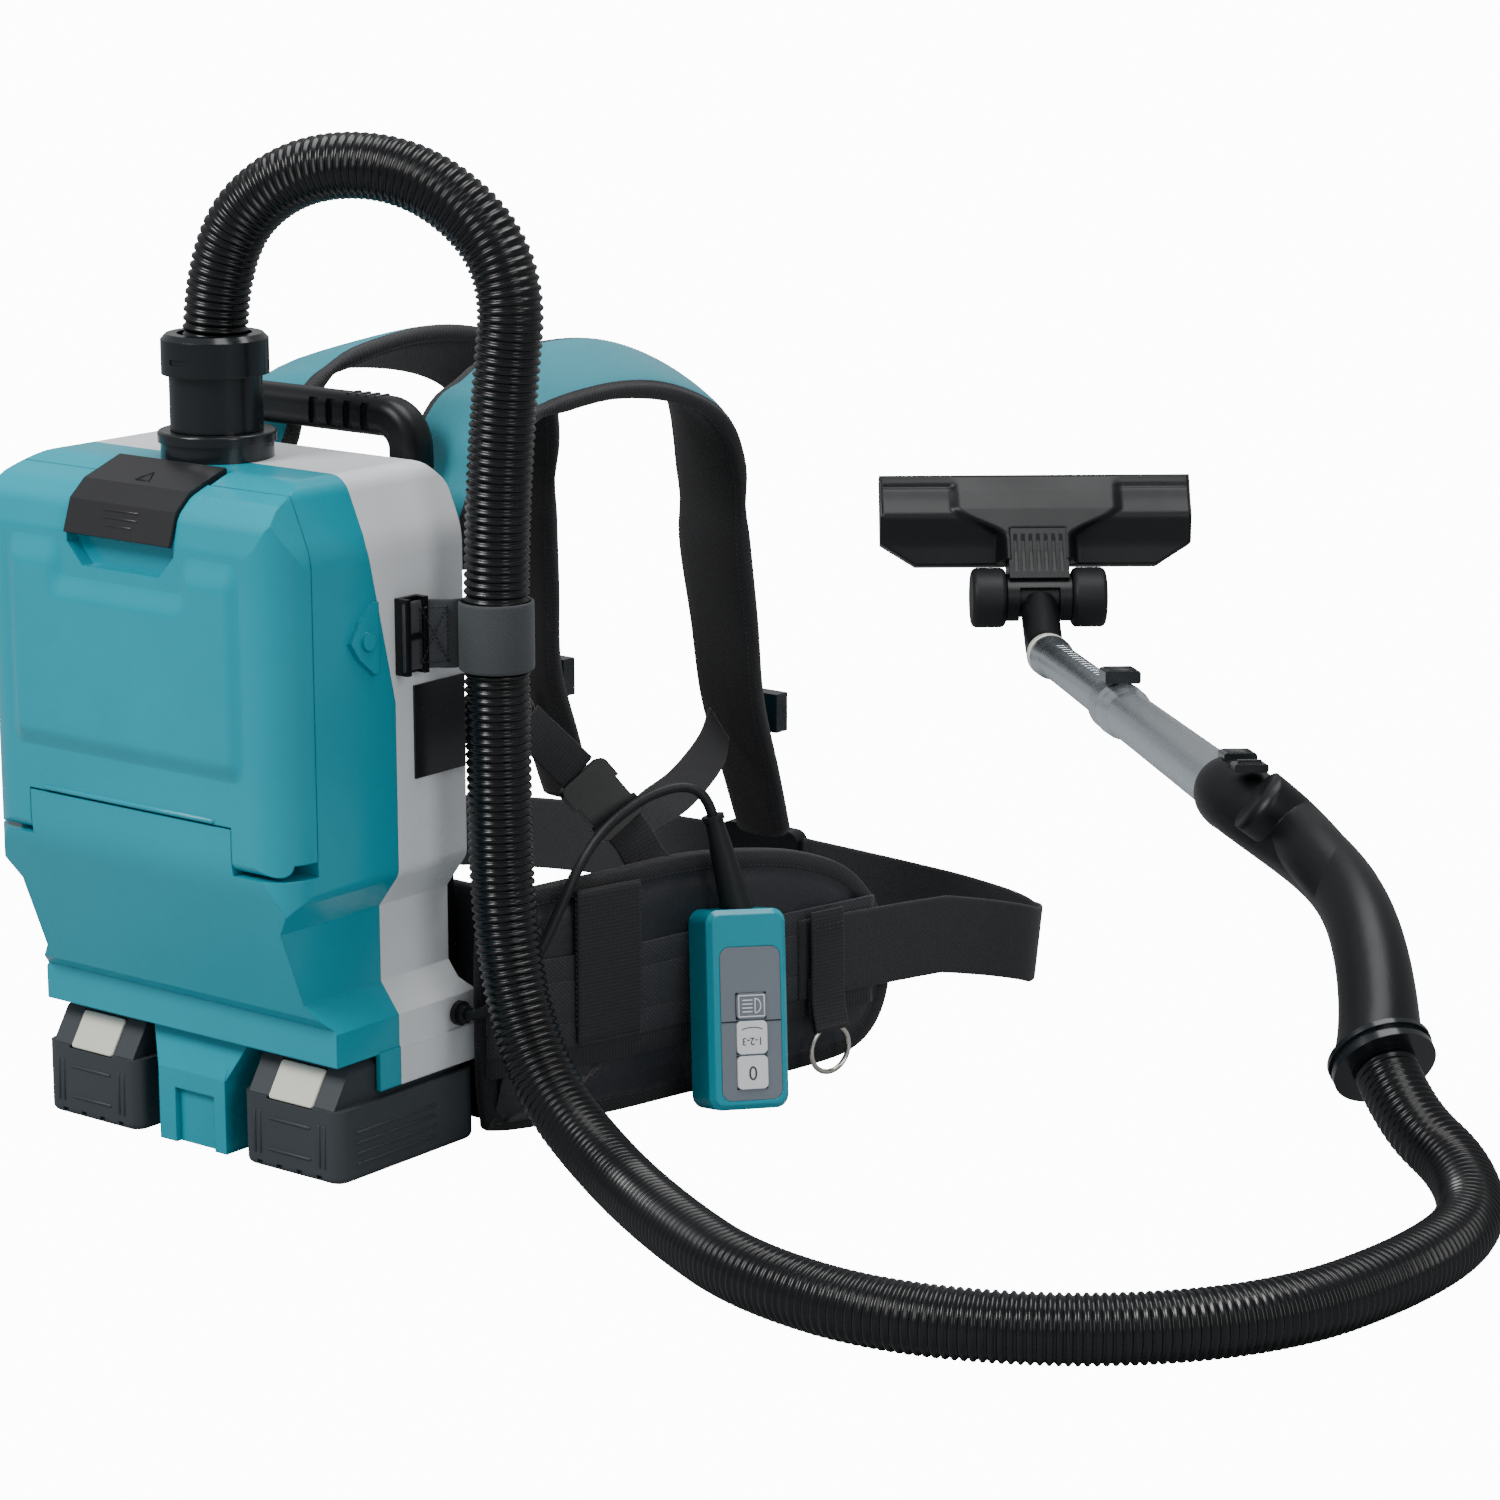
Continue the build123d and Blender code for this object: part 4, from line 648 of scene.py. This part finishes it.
waist = waist_pad()
belt_parts = [
    wing_band("belt_band_upper", 15, 285, 87, 102, M["band"], 8.5, 0.9),
    wing_band("belt_band_middle", 15, 288, 62, 88, M["band"], 8.7, 1.0),
    wing_band("belt_band_lower", 15, 286, 48, 63, M["band"], 8.9, 0.9),
    wing_band("belt_band_base", 15, 284, 36, 49, M["web"], 8.6, 0.8),
    wing_post("belt_post_front", 90, 44, 50, 140, M["web"], 10.4, 1.0),
]
for s in (69, 111):
    c = wing_at(np.full(20, s * MM), np.linspace(60 * MM, 138 * MM, 20), 11.5 * MM)
    belt_parts.append(stitches("belt_post_stitch_%d" % s, c, BELT_OUT, M["thread"]))
edge_pts = outline_points(9.0 * MM)
edge_line = wing_at(edge_pts[:, 0], edge_pts[:, 1], 5.2 * MM)
belt_parts.append(stitches("belt_edge_stitch", np.vstack([edge_line, edge_line[:1]]), BELT_OUT, M["thread"]))
for side_name in ("right", "left"):
    obj = waist if side_name == "right" else mirrored(waist, "waist_pad_left_cloth")
    settle(obj, replaces=["waist_pad_" + side_name])
    for p in belt_parts:
        piece = p if side_name == "right" else mirrored(p, p.name + "_left")
        settle(piece)


# ------------------------------------------------------------------ back and lumbar pads
def cushion(name, low, high, mat, crown=3 * MM, cells=(26, 22)):
    """Rounded, crowned slab between two corners, thin from front to back."""
    low, high = np.array(low), np.array(high)
    mid, half = (low + high) / 2, (high - low) / 2
    (nu, nv), verts, faces = cells, [], []
    for face in (1, -1):
        start = len(verts)
        for i in range(nu + 1):
            for j in range(nv + 1):
                u = math.sin((i / nu - 0.5) * math.pi)
                v = math.sin((j / nv - 0.5) * math.pi)
                rim = max(0.0, 1 - abs(u) ** 8) * max(0.0, 1 - abs(v) ** 8)
                swell = max(0.0, (1 - u * u) * (1 - v * v))
                pull = 1 - 0.02 * (1 - swell)
                depth = (half[1] - crown) * rim ** 0.35 + crown * swell ** 0.5
                verts.append(mid + (u * half[0] * pull, face * depth, v * half[2] * pull))
        faces += [tuple(start + k for k in quad) for quad in grid_faces((nu + 1, nv + 1))]
    return clean(mesh_object(name, verts, faces, mat), 0.2 * MM)


for node in ("back_pad", "lumbar_pad"):
    obj = cushion(node + "_cloth", *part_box(node), M["pad_cloth"])
    settle(obj, replaces=[node])

# ------------------------------------------------------------------ waist webbing
WEB_T, WAIST_WEB_W, SIDE_WEB_W, STRAP_W = 1.8, 49, 25, 38
WAIST_WEB = [(193, 251), (213.2, 338), (226, 391), (236, 430), (225, 453), (196, 463), (120, 468), (33, 470)]
web_xy = catmull(np.array(WAIST_WEB, float) * MM, 10)
web_z = np.interp(np.linspace(0, 1, len(web_xy)), [0, 0.2, 0.45, 0.62, 0.8, 1.0],
                  np.array([72, 68, 48, 44, 50, 53]) * MM)
web_c = np.column_stack([web_xy, web_z])
web_t = unit(np.gradient(web_c, axis=0))
web_up = np.tile([0.0, 0, 1.0], (len(web_c), 1))
web_up[:, 0] = np.interp(np.linspace(0, 1, len(web_c)), [0, 0.4, 0.7, 1], [0, 0.12, 0.1, 0])
belt_web = ribbon("waist_web_right", web_c, web_up, np.cross(web_t, web_up), WAIST_WEB_W / 2 * MM, WEB_T / 2 * MM,
                  M["web_fine"])
settle(belt_web, replaces=["waist_webbing_right"])
settle(mirrored(belt_web, "waist_web_left"), replaces=["waist_webbing_left"])

# accessory loop with its ring
loop_base = np.array([196.8, 268, 0]) * MM
loop_shape = catmull(np.array([(4.5, 101), (5.4, 98), (6.4, 80), (6.6, 50), (9.5, 34), (10.6, 30.8), (9.0, 28.6),
                               (7.0, 31), (4.6, 40), (4.0, 60)]) * MM, 6)
loop_c = loop_base + BELT_OUT * loop_shape[:, :1] + np.array([0, 0, 1.0]) * loop_shape[:, 1:]
loop_t = unit(np.gradient(loop_c, axis=0))
loop_a = np.tile(BELT_ALONG, (len(loop_c), 1))
loop = ribbon("accessory_web", loop_c, loop_a, np.cross(loop_a, loop_t), SIDE_WEB_W / 2 * MM, WEB_T / 2 * MM, M["web"])
settle(loop, replaces=["accessory_loop"])
for i, z in enumerate((44, 47, 90, 93)):
    c = loop_base + BELT_OUT * 7.6 * MM + np.array([0, 0, z * MM])
    row = np.array([c - BELT_ALONG * 11 * MM, c + BELT_ALONG * 11 * MM])
    settle(stitches("accessory_stitch_%d" % i, row, BELT_OUT, M["thread"]))

# ------------------------------------------------------------------ side webbing
BUCKLE_C = np.array([129, 148.5, 179.5])
buckle_run = unit([16, 11, -23])
out_dir = unit([0.8, -0.5, 0.2])


def web_run(name, pts, outs):
    """Webbing through points, facing outs."""
    c = catmull(np.array(pts, float) * MM, 10)
    o = unit(catmull(np.array(outs, float), 10))
    t = unit(np.gradient(c, axis=0))
    a = unit(np.cross(o, t))
    return ribbon(name, c, a, np.cross(t, a), SIDE_WEB_W / 2 * MM, WEB_T / 2 * MM, M["web"])


b_top, b_end = BUCKLE_C - buckle_run * 20, BUCKLE_C + buckle_run * 20
runs = [
    web_run("side_web_upper", [(94, 60.5, 236), (98, 82, 233), (101.5, 104, 230)], [(0.9, 0, 0.3)] * 3),
    web_run("side_web_ring", [(106.6, 110, 229), (109, 117, 221), (113.5, 130, 207), tuple(b_top)],
            [(0.9, -0.3, 0.3), (0.85, -0.4, 0.3), tuple(out_dir), tuple(out_dir)]),
    web_run("side_web_belt", [tuple(b_end), (144, 159.5, 156), (150, 163, 144), (157, 166.5, 136)],
            [tuple(out_dir)] * 4),
    web_run("side_web_shoulder", [(141, 162, 160), (136, 180, 166), (118, 235, 168), (95, 292, 176), (78, 323, 186)],
            [(0.9, 0.2, 0.25), (0.88, 0.3, 0.3), (0.8, 0.35, 0.5), (0.75, 0.35, 0.55), (0.8, 0.3, 0.4)]),
]
for i, r in enumerate(runs):
    settle(r, replaces=["side_webbing_right"] if i == 0 else ())
    settle(mirrored(r, r.name + "_left"), replaces=["side_webbing_left"] if i == 0 else ())

# ------------------------------------------------------------------ hose strap
STRAP_Z = 298


def moving_mean(values, width):
    """Each value averaged with its neighbours; width is odd."""
    return np.convolve(np.pad(values, width // 2, mode="edge"), np.ones(width) / width, "valid")


strap_r = HOSE_D / 2 + 1.9 * MM
ang = np.radians(np.linspace(215, 215 - 352, 60))       # nearly once round the hose, from the bracket
ring_xy = np.array(HOSE_ROUTE[7][:2]) * MM + strap_r * np.column_stack([np.cos(ang), np.sin(ang)])
lead = catmull(np.array([(122.5, -9), (120.5, 0), (122, 9), (129, 16)]) * MM, 8)
strap_xy = np.vstack([lead, ring_xy])
strap_xy = np.column_stack([moving_mean(strap_xy[:, i], 5) for i in (0, 1)])
strap_c = np.column_stack([strap_xy, np.full(len(strap_xy), STRAP_Z * MM)])
strap_up = np.tile([0, 0, 1.0], (len(strap_c), 1))
strap_n = np.cross(strap_up, unit(np.gradient(strap_c, axis=0)))
strap = ribbon("hose_strap_web", strap_c, strap_up, strap_n, STRAP_W / 2 * MM, WEB_T / 2 * MM, M["strap"])
settle(strap, replaces=["hose_strap"])

# ------------------------------------------------------------------ moulded details
def bars(name, runs, normal, width, height, mat):
    """Low rounded ribs lying on a surface: each runs from one point to another."""
    verts, faces = [], []
    for p, q in runs:
        p, q = np.array(p, float) * MM, np.array(q, float) * MM
        n, t = unit(normal), unit(q - p)
        a = np.cross(t, n) * width / 2 * MM
        base = len(verts)
        for c, end in ((p, -1), (p, 0), (q, 0), (q, 1)):
            k = 0.55 if end else 1.0
            c = c + t * end * width * 0.3 * MM
            for u, h in ((-1, -0.6), (-0.9, 0.5 * k), (-0.45, k), (0.45, k), (0.9, 0.5 * k), (1, -0.6)):
                verts.append(c + a * u * (0.6 if end else 1) + n * h * height * MM)
        for i in range(3):
            for j in range(5):
                k = base + 6 * i + j
                faces.append((k, k + 6, k + 7, k + 1))
        faces += [tuple(base + j for j in range(6)), tuple(base + 18 + j for j in range(5, -1, -1))]
    return mesh_object(name, verts, faces, mat)


def lathe(name, origin, axis, profile, mat, sides=48):
    """Surface turned about an axis: profile is a list of (distance, radius) in mm."""
    origin, axis = np.array(origin, float) * MM, unit(axis)
    ref = unit(np.cross(axis, [0, 0, 1.0]))
    other = np.cross(axis, ref)
    ang = np.linspace(0, 2 * np.pi, sides, endpoint=False)
    ring = np.cos(ang)[:, None] * ref + np.sin(ang)[:, None] * other
    verts = np.vstack([origin + axis * d * MM + ring * r * MM for d, r in profile])
    return mesh_object(name, verts, ring_faces(len(profile), sides), mat)


def smooth_step(x):
    """0 to 1 over the same span of x, with level ends."""
    x = np.clip(x, 0, 1)
    return x * x * (3 - 2 * x)


# raised crown of the front cover, with the finger recess left open
COVER_FACE_Y, CROWN_RISE = -97.6, 4.4
gx, gz = np.meshgrid(np.linspace(-90, 90, 121), np.linspace(222, 352, 101))
crown = smooth_step((90 - np.abs(gx)) / 11) * smooth_step((gz - 226) / 15) * smooth_step((351 - gz) / 20)
crown *= 1 - smooth_step((55 - np.abs(gx)) / 13) * smooth_step((gz - 314) / 16)
gy = COVER_FACE_Y - CROWN_RISE * crown
verts = np.stack([gx, gy, gz], axis=-1).reshape(-1, 3) * MM
faces = grid_faces(gx.shape, lambda r, c: crown[r:r + 2, c:c + 2].max() > 0.0)
settle(mesh_object("cover_crown", verts, faces, M["teal"]), "cover")
settle(bars("cover_ledge", [((-64, -97.9, 205.8), (64, -97.9, 205.8))], (0, -1, 0), 3.0, 1.6, M["teal"]), "cover")

# ribs and the opening mark on the latch
lower, upper = unit([0, -18, 6]), unit([0, -9.5, 27])
settle(bars("latch_ribs", [((-13, -96.2, 366.4), (13, -96.2, 366.4)), ((-13, -97.5, 362.4), (13, -97.5, 362.4)),
                           ((-10, -98.8, 358.4), (10, -98.8, 358.4))], lower, 1.3, 0.5, M["latch"]), "latch")
settle(bars("latch_mark", [((-5, -79.5, 381.2), (5, -79.5, 381.2)), ((5, -79.5, 381.2), (0, -71, 384.2)),
                           ((0, -71, 384.2), (-5, -79.5, 381.2))], upper, 0.9, 0.35, M["black"]), "latch")

# wand: the line of the tubes, and the fittings turned about it
MOUTH, TUBE_END = np.array([347.0, 482, 151]), np.array([-314.6, 1279, 20.5])
wand = unit(TUBE_END - MOUTH)
wand_len = np.linalg.norm(TUBE_END - MOUTH)
wand_side = unit(np.cross(wand, [0, 0, 1.0]))
wand_up = np.cross(wand_side, wand)
settle(lathe("outer_tube_collar", MOUTH, wand, [(488, 17.55), (498, 17.9), (508, 19.2), (518, 19.9), (540, 19.9),
             (541, 20.3), (544, 20.3), (545, 19.9), (586, 19.9), (590.4, 19.4), (590.6, 15.7)], M["steel"]))
settle(lathe("lower_tube_flare", MOUTH, wand, [(wand_len - 70, 15.55), (wand_len - 60, 15.9), (wand_len - 46, 17.8),
             (wand_len - 38, 18.3), (wand_len - 22, 18.3), (wand_len - 20.5, 18.05)], M["steel"]), "lower_tube")
settle(lathe("lower_tube_ring", MOUTH, wand, [(wand_len - 20, 18.05), (wand_len - 19.5, 18.6), (wand_len - 0.5, 18.6),
             (wand_len + 0.3, 18.0), (wand_len + 0.3, 14.5)], M["ivory"]), "lower_tube")
settle(lathe("handle_mouth_rim", MOUTH, wand, [(-9, 22.4), (-8, 23.1), (-1.5, 23.1), (0.5, 22.3), (0.8, 17.6)],
             M["black"]))


def wand_at(s, v, u):
    """Point s along the wand, v to the side, u up, in mm."""
    return MOUTH + wand * s + wand_side * v + wand_up * u


lock = [(wand_at(s, -10, 29.3), wand_at(s, 10, 29.3)) for s in (538, 542, 546, 560, 564, 568)]
settle(bars("lock_ribs", lock, wand_up, 1.6, 0.8, M["gloss_black"]), "length_lock")
press = [(wand_at(s, -7, 27.9), wand_at(s, 7, 27.9)) for s in (-24, -19, -14, -9)]
settle(bars("button_ribs", press, wand_up, 1.8, 0.7, M["gloss_black"]), "release_button")

# thick shell over the grip, behind the air slider, fading into the handle
spine = np.array([MOUTH - wand * 92, (422, 423, 147), (455, 400, 141), (489, 376, 131), (512, 353, 118)], float) * MM
shell_line = catmull(spine, 8)
shell_u = np.linspace(0, 1, len(shell_line))
lift = (7.5 * (1 - smooth_step(shell_u / 0.95)) - 0.6) * MM
shell = tube("grip_hump", shell_line + np.outer(lift, wand_up), (19.8 - 1.2 * shell_u) * MM, M["black"], 40)
settle(shell)

# floor head: one flowing skin over the plate and the flare of the neck
BARREL = np.array([-371.0, 1347, 53])
HEAD_TIP = math.radians(70)
ahead = unit([wand[0], wand[1], 0])
head_x = ahead * math.cos(HEAD_TIP) + np.array([0, 0, math.sin(HEAD_TIP)])
head_y = np.cross(wand_side, head_x)
hu, hz = np.meshgrid(np.linspace(0, 1, 81), np.linspace(-135.7, 135.7, 181))
x_low = np.maximum(30.4, 29.6 + (np.abs(hz) - 104) * 0.636)
hx = x_low + (109.6 - x_low) * hu
fine = np.linspace(20, 120, 401)
plate = np.interp(fine, [30, 48, 60, 72, 86, 98, 110], [-12, -9, -4, 1, -4, -7, -10])
plate = moving_mean(plate, 33)
hy = np.interp(hx, fine, plate) + 1.2 - 1.1 * np.exp(-((hx - 99) / 1.8) ** 2)
reach = 37 + 40 * smooth_step((hx - 52) / 28)
flare = smooth_step((reach - np.abs(hz)) / 11)
neck = np.interp(hx, [30, 40, 78, 95, 110], [15.5, 13, 3, -3, -9.5]) + 0.8
hy = hy + flare * np.maximum(0, neck - hy)
hy -= 2.2 * smooth_step((24.5 - np.abs(hz)) / 1.5) * smooth_step((60.5 - hx) / 2)
rim = (hu < 0.001) | (hu > 0.999) | (np.abs(hz) > 135.6)
hy = np.where(rim, np.minimum(hy, np.interp(hx, fine, plate)) - 3.0, hy)
verts = (BARREL + hx[..., None] * head_x + hy[..., None] * head_y + hz[..., None] * wand_side).reshape(-1, 3) * MM
settle(mesh_object("floor_head_skin", verts, grid_faces(hx.shape), M["black"]), "head")

# remote: printed window, key marks and split lines
REMOTE_TOP, REMOTE_FOOT = np.array([191, 195, 115.5]), np.array([209, 176, 3.8])
PANEL_FACE, KEY_FACE = 13.5, 14.5       # height over the remote's middle
r_up = unit(REMOTE_TOP - REMOTE_FOOT)
r_out = unit([0.8686, -0.446, 0.2158])
r_x = np.cross(r_up, r_out)
remote_mid = (REMOTE_TOP + REMOTE_FOOT) / 2


def on_remote(x, y, h=PANEL_FACE):
    """Point x across and y up the remote, h out from its middle, in mm."""
    return remote_mid + r_x * x + r_up * y + r_out * h


def mark(name, text, x, y, size, body):
    """A raised figure on a key, read with the remote held foot up."""
    data = bpy.data.curves.new(name, "FONT")
    data.body, data.size, data.align_x, data.align_y = text, size * MM, "CENTER", "CENTER"
    data.extrude, data.resolution_u = 0.08 * MM, 6
    temp = link(bpy.data.objects.new(name, data))
    bpy.context.view_layer.update()
    me = bpy.data.meshes.new_from_object(temp.evaluated_get(bpy.context.evaluated_depsgraph_get()))
    bpy.data.objects.remove(temp)
    place = Matrix([[*(-r_x)], [*(-r_up)], [*r_out]]).transposed().to_4x4()
    place.translation = Vector(on_remote(x, y, KEY_FACE + 0.1) * MM)
    me.transform(place)
    me.materials.clear()
    me.materials.append(M["print_grey"])
    settle(link(bpy.data.objects.new(name, me)), body)


mark("mark_stop", "0", 1, -36, 11.5, "stop_button")
mark("mark_speed", "1-2-3", 1, -18, 6.2, "speed_button")
arc = [on_remote(1 + 6.5 * math.cos(t), -11.9 + 1.6 * math.sin(t), KEY_FACE) for t in np.linspace(0.2, 2.95, 9)]
settle(bars("mark_sweep", list(zip(arc, arc[1:])), r_out, 0.6, 0.12, M["print_grey"]), "speed_button")
lamp = [on_remote(3.2 + 3.6 * math.sin(t), 2 + 4.1 * math.cos(t), KEY_FACE) for t in np.linspace(0, math.pi, 13)]
lamp_runs = list(zip(lamp, lamp[1:])) + [(lamp[0], lamp[-1])]
lamp_runs += [(on_remote(1.4, 2 + k, KEY_FACE), on_remote(-4.6, 2 + k, KEY_FACE)) for k in (-3.3, -1.1, 1.1, 3.3)]
frame_pts = [on_remote(1 + a, 2 + b, KEY_FACE - 0.05) for a, b in ((-8, -6), (8, -6), (8, 6), (-8, 6), (-8, -6))]
lamp_runs += list(zip(frame_pts, frame_pts[1:]))
settle(bars("mark_lamp", lamp_runs, r_out, 0.7, 0.14, M["print_white"]), "light_button")
split_lines = [(on_remote(-17.5, -6.8), on_remote(-9, -6.8)), (on_remote(9, -6.8), on_remote(19.5, -6.8))]
settle(bars("panel_split", split_lines, r_out, 0.8, 0.25, M["black"]))
side_grips = [(on_remote(25.2, y - 1.5, h), on_remote(25.2, y + 1.5, h)) for y in (-48, -43, -38) for h in (-7, 5)]
settle(bars("remote_side_ribs", side_grips, r_x, 1.6, 0.6, M["teal"]))

def box_mm(node):
    return [np.array(corner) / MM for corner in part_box(node)]


# battery: ribs down the front corners, and along the outer side
for s, label in ((1, "right"), (-1, "left")):
    low, high = box_mm("battery_" + label)
    x0, x1, y0 = low[0], high[0], low[1]
    runs = [((x, y0 - 0.05, 9), (x, y0 - 0.05, 33)) for x in (x0 + 11, x0 + 15, x1 - 15, x1 - 11)]
    runs += [((x0 + 22, y0 - 0.05, z), (x1 - 22, y0 - 0.05, z)) for z in (12, 30)]
    settle(bars("battery_ribs_" + label, runs, (0, -1, 0), 1.6, 0.7, M["grey"]), "pack_" + label)
    edge = x1 if s > 0 else x0
    runs = [((edge + s * 0.05, y0 + 14, z), (edge + s * 0.05, y0 + 78, z)) for z in (10, 16, 22, 28)]
    settle(bars("battery_side_ribs_" + label, runs, (s, 0, 0), 1.8, 0.7, M["grey"]), "pack_" + label)

# box stitch with its cross on the hose strap
u0, u1 = np.array([122.2, 5.5, 0]), np.array([131.5, 16.5, 0])
strap_n0 = unit(np.cross(u1 - u0, [0, 0, 1.0]))
box = [(p + strap_n0 * 1.5 + np.array([0, 0, STRAP_Z + rise])) * MM
       for p, rise in ((u0, -15), (u1, -15), (u1, 15), (u0, 15))]
for i, (a_pt, b_pt) in enumerate(((0, 1), (1, 2), (2, 3), (3, 0), (0, 2), (1, 3))):
    row = np.linspace(box[a_pt], box[b_pt], 6)
    thread_row = stitches("strap_stitch_%d" % i, row, strap_n0, M["gloss_black"], 2.6 * MM, 2.0 * MM, 0.45 * MM)
    settle(thread_row)

# carry handle: finger slots picked out as ribs on its near end
low, high = box_mm("carry_handle")
grip_y, rib_z = (low[1] + high[1]) / 2, high[2] - 0.2
runs = [((x, grip_y - 5, rib_z), (x, grip_y + 5, rib_z)) for x in (26, 33, 40, 47)]
settle(bars("handle_ribs", runs, (0, 0, 1), 2.6, 0.9, M["gloss_black"]))

# ------------------------------------------------------------------ floor and light
floor_mat = Graph("floor_white")
tone = floor_mat.noise(3.0, 2.0)
floor_mat.set(Base_Color=(0.3, 0.31, 0.32, 1), Roughness=floor_mat.span(tone, 0.55, 0.65))
glow = floor_mat.node("ShaderNodeEmission", {"Color": STUDIO_WHITE, "Strength": BACKDROP_GLOW})
seen = floor_mat.math("MULTIPLY", floor_mat.node("ShaderNodeLightPath").outputs["Is Camera Ray"], 0.97)
mix = floor_mat.node("ShaderNodeMixShader", {0: seen, 1: floor_mat.shader.outputs[0], 2: glow.outputs[0]})
floor_mat.tree.links.new(mix.outputs[0], floor_mat.tree.nodes["Material Output"].inputs["Surface"])
FLOOR_HALF, FLOOR_Z = 30, -0.5 * MM
corners = [(x * FLOOR_HALF, y * FLOOR_HALF, FLOOR_Z) for x, y in ((-1, -1), (1, -1), (1, 1), (-1, 1))]
floor = mesh_object("floor", corners, [(0, 1, 2, 3)], floor_mat.mat, smooth=False)


def softbox(name, place, target, size, power):
    """White area light at place, turned to target."""
    data = bpy.data.lights.new(name, "AREA")
    data.shape = "RECTANGLE"
    data.size, data.size_y = size
    data.energy = power
    obj = link(bpy.data.objects.new(name, data))
    obj.location = place
    obj.rotation_euler = (Vector(target) - Vector(place)).to_track_quat("-Z", "Y").to_euler()


softbox("key_light", (-0.8, -2.2, 2.6), (0.1, 0.1, 0.2), (1.3, 1.3), 105)
softbox("fill_light", (2.6, -0.6, 1.4), (0.1, 0.2, 0.2), (0.9, 1.8), 20)
softbox("top_light", (0.3, 0.8, 2.8), (0.1, 0.5, 0.1), (1.8, 1.8), 64)
world = bpy.data.worlds.new("studio")
world.use_nodes = True
tree = world.node_tree
tree.nodes["Background"].inputs["Color"].default_value = STUDIO_WHITE
tree.nodes["Background"].inputs["Strength"].default_value = 0.42
white = tree.nodes.new("ShaderNodeBackground")
white.inputs["Color"].default_value = STUDIO_WHITE
white.inputs["Strength"].default_value = BACKDROP_GLOW
chooser = tree.nodes.new("ShaderNodeMixShader")
tree.links.new(tree.nodes.new("ShaderNodeLightPath").outputs["Is Camera Ray"], chooser.inputs[0])
tree.links.new(tree.nodes["Background"].outputs[0], chooser.inputs[1])
tree.links.new(white.outputs[0], chooser.inputs[2])
tree.links.new(chooser.outputs[0], tree.nodes["World Output"].inputs["Surface"])
bpy.context.scene.world = world
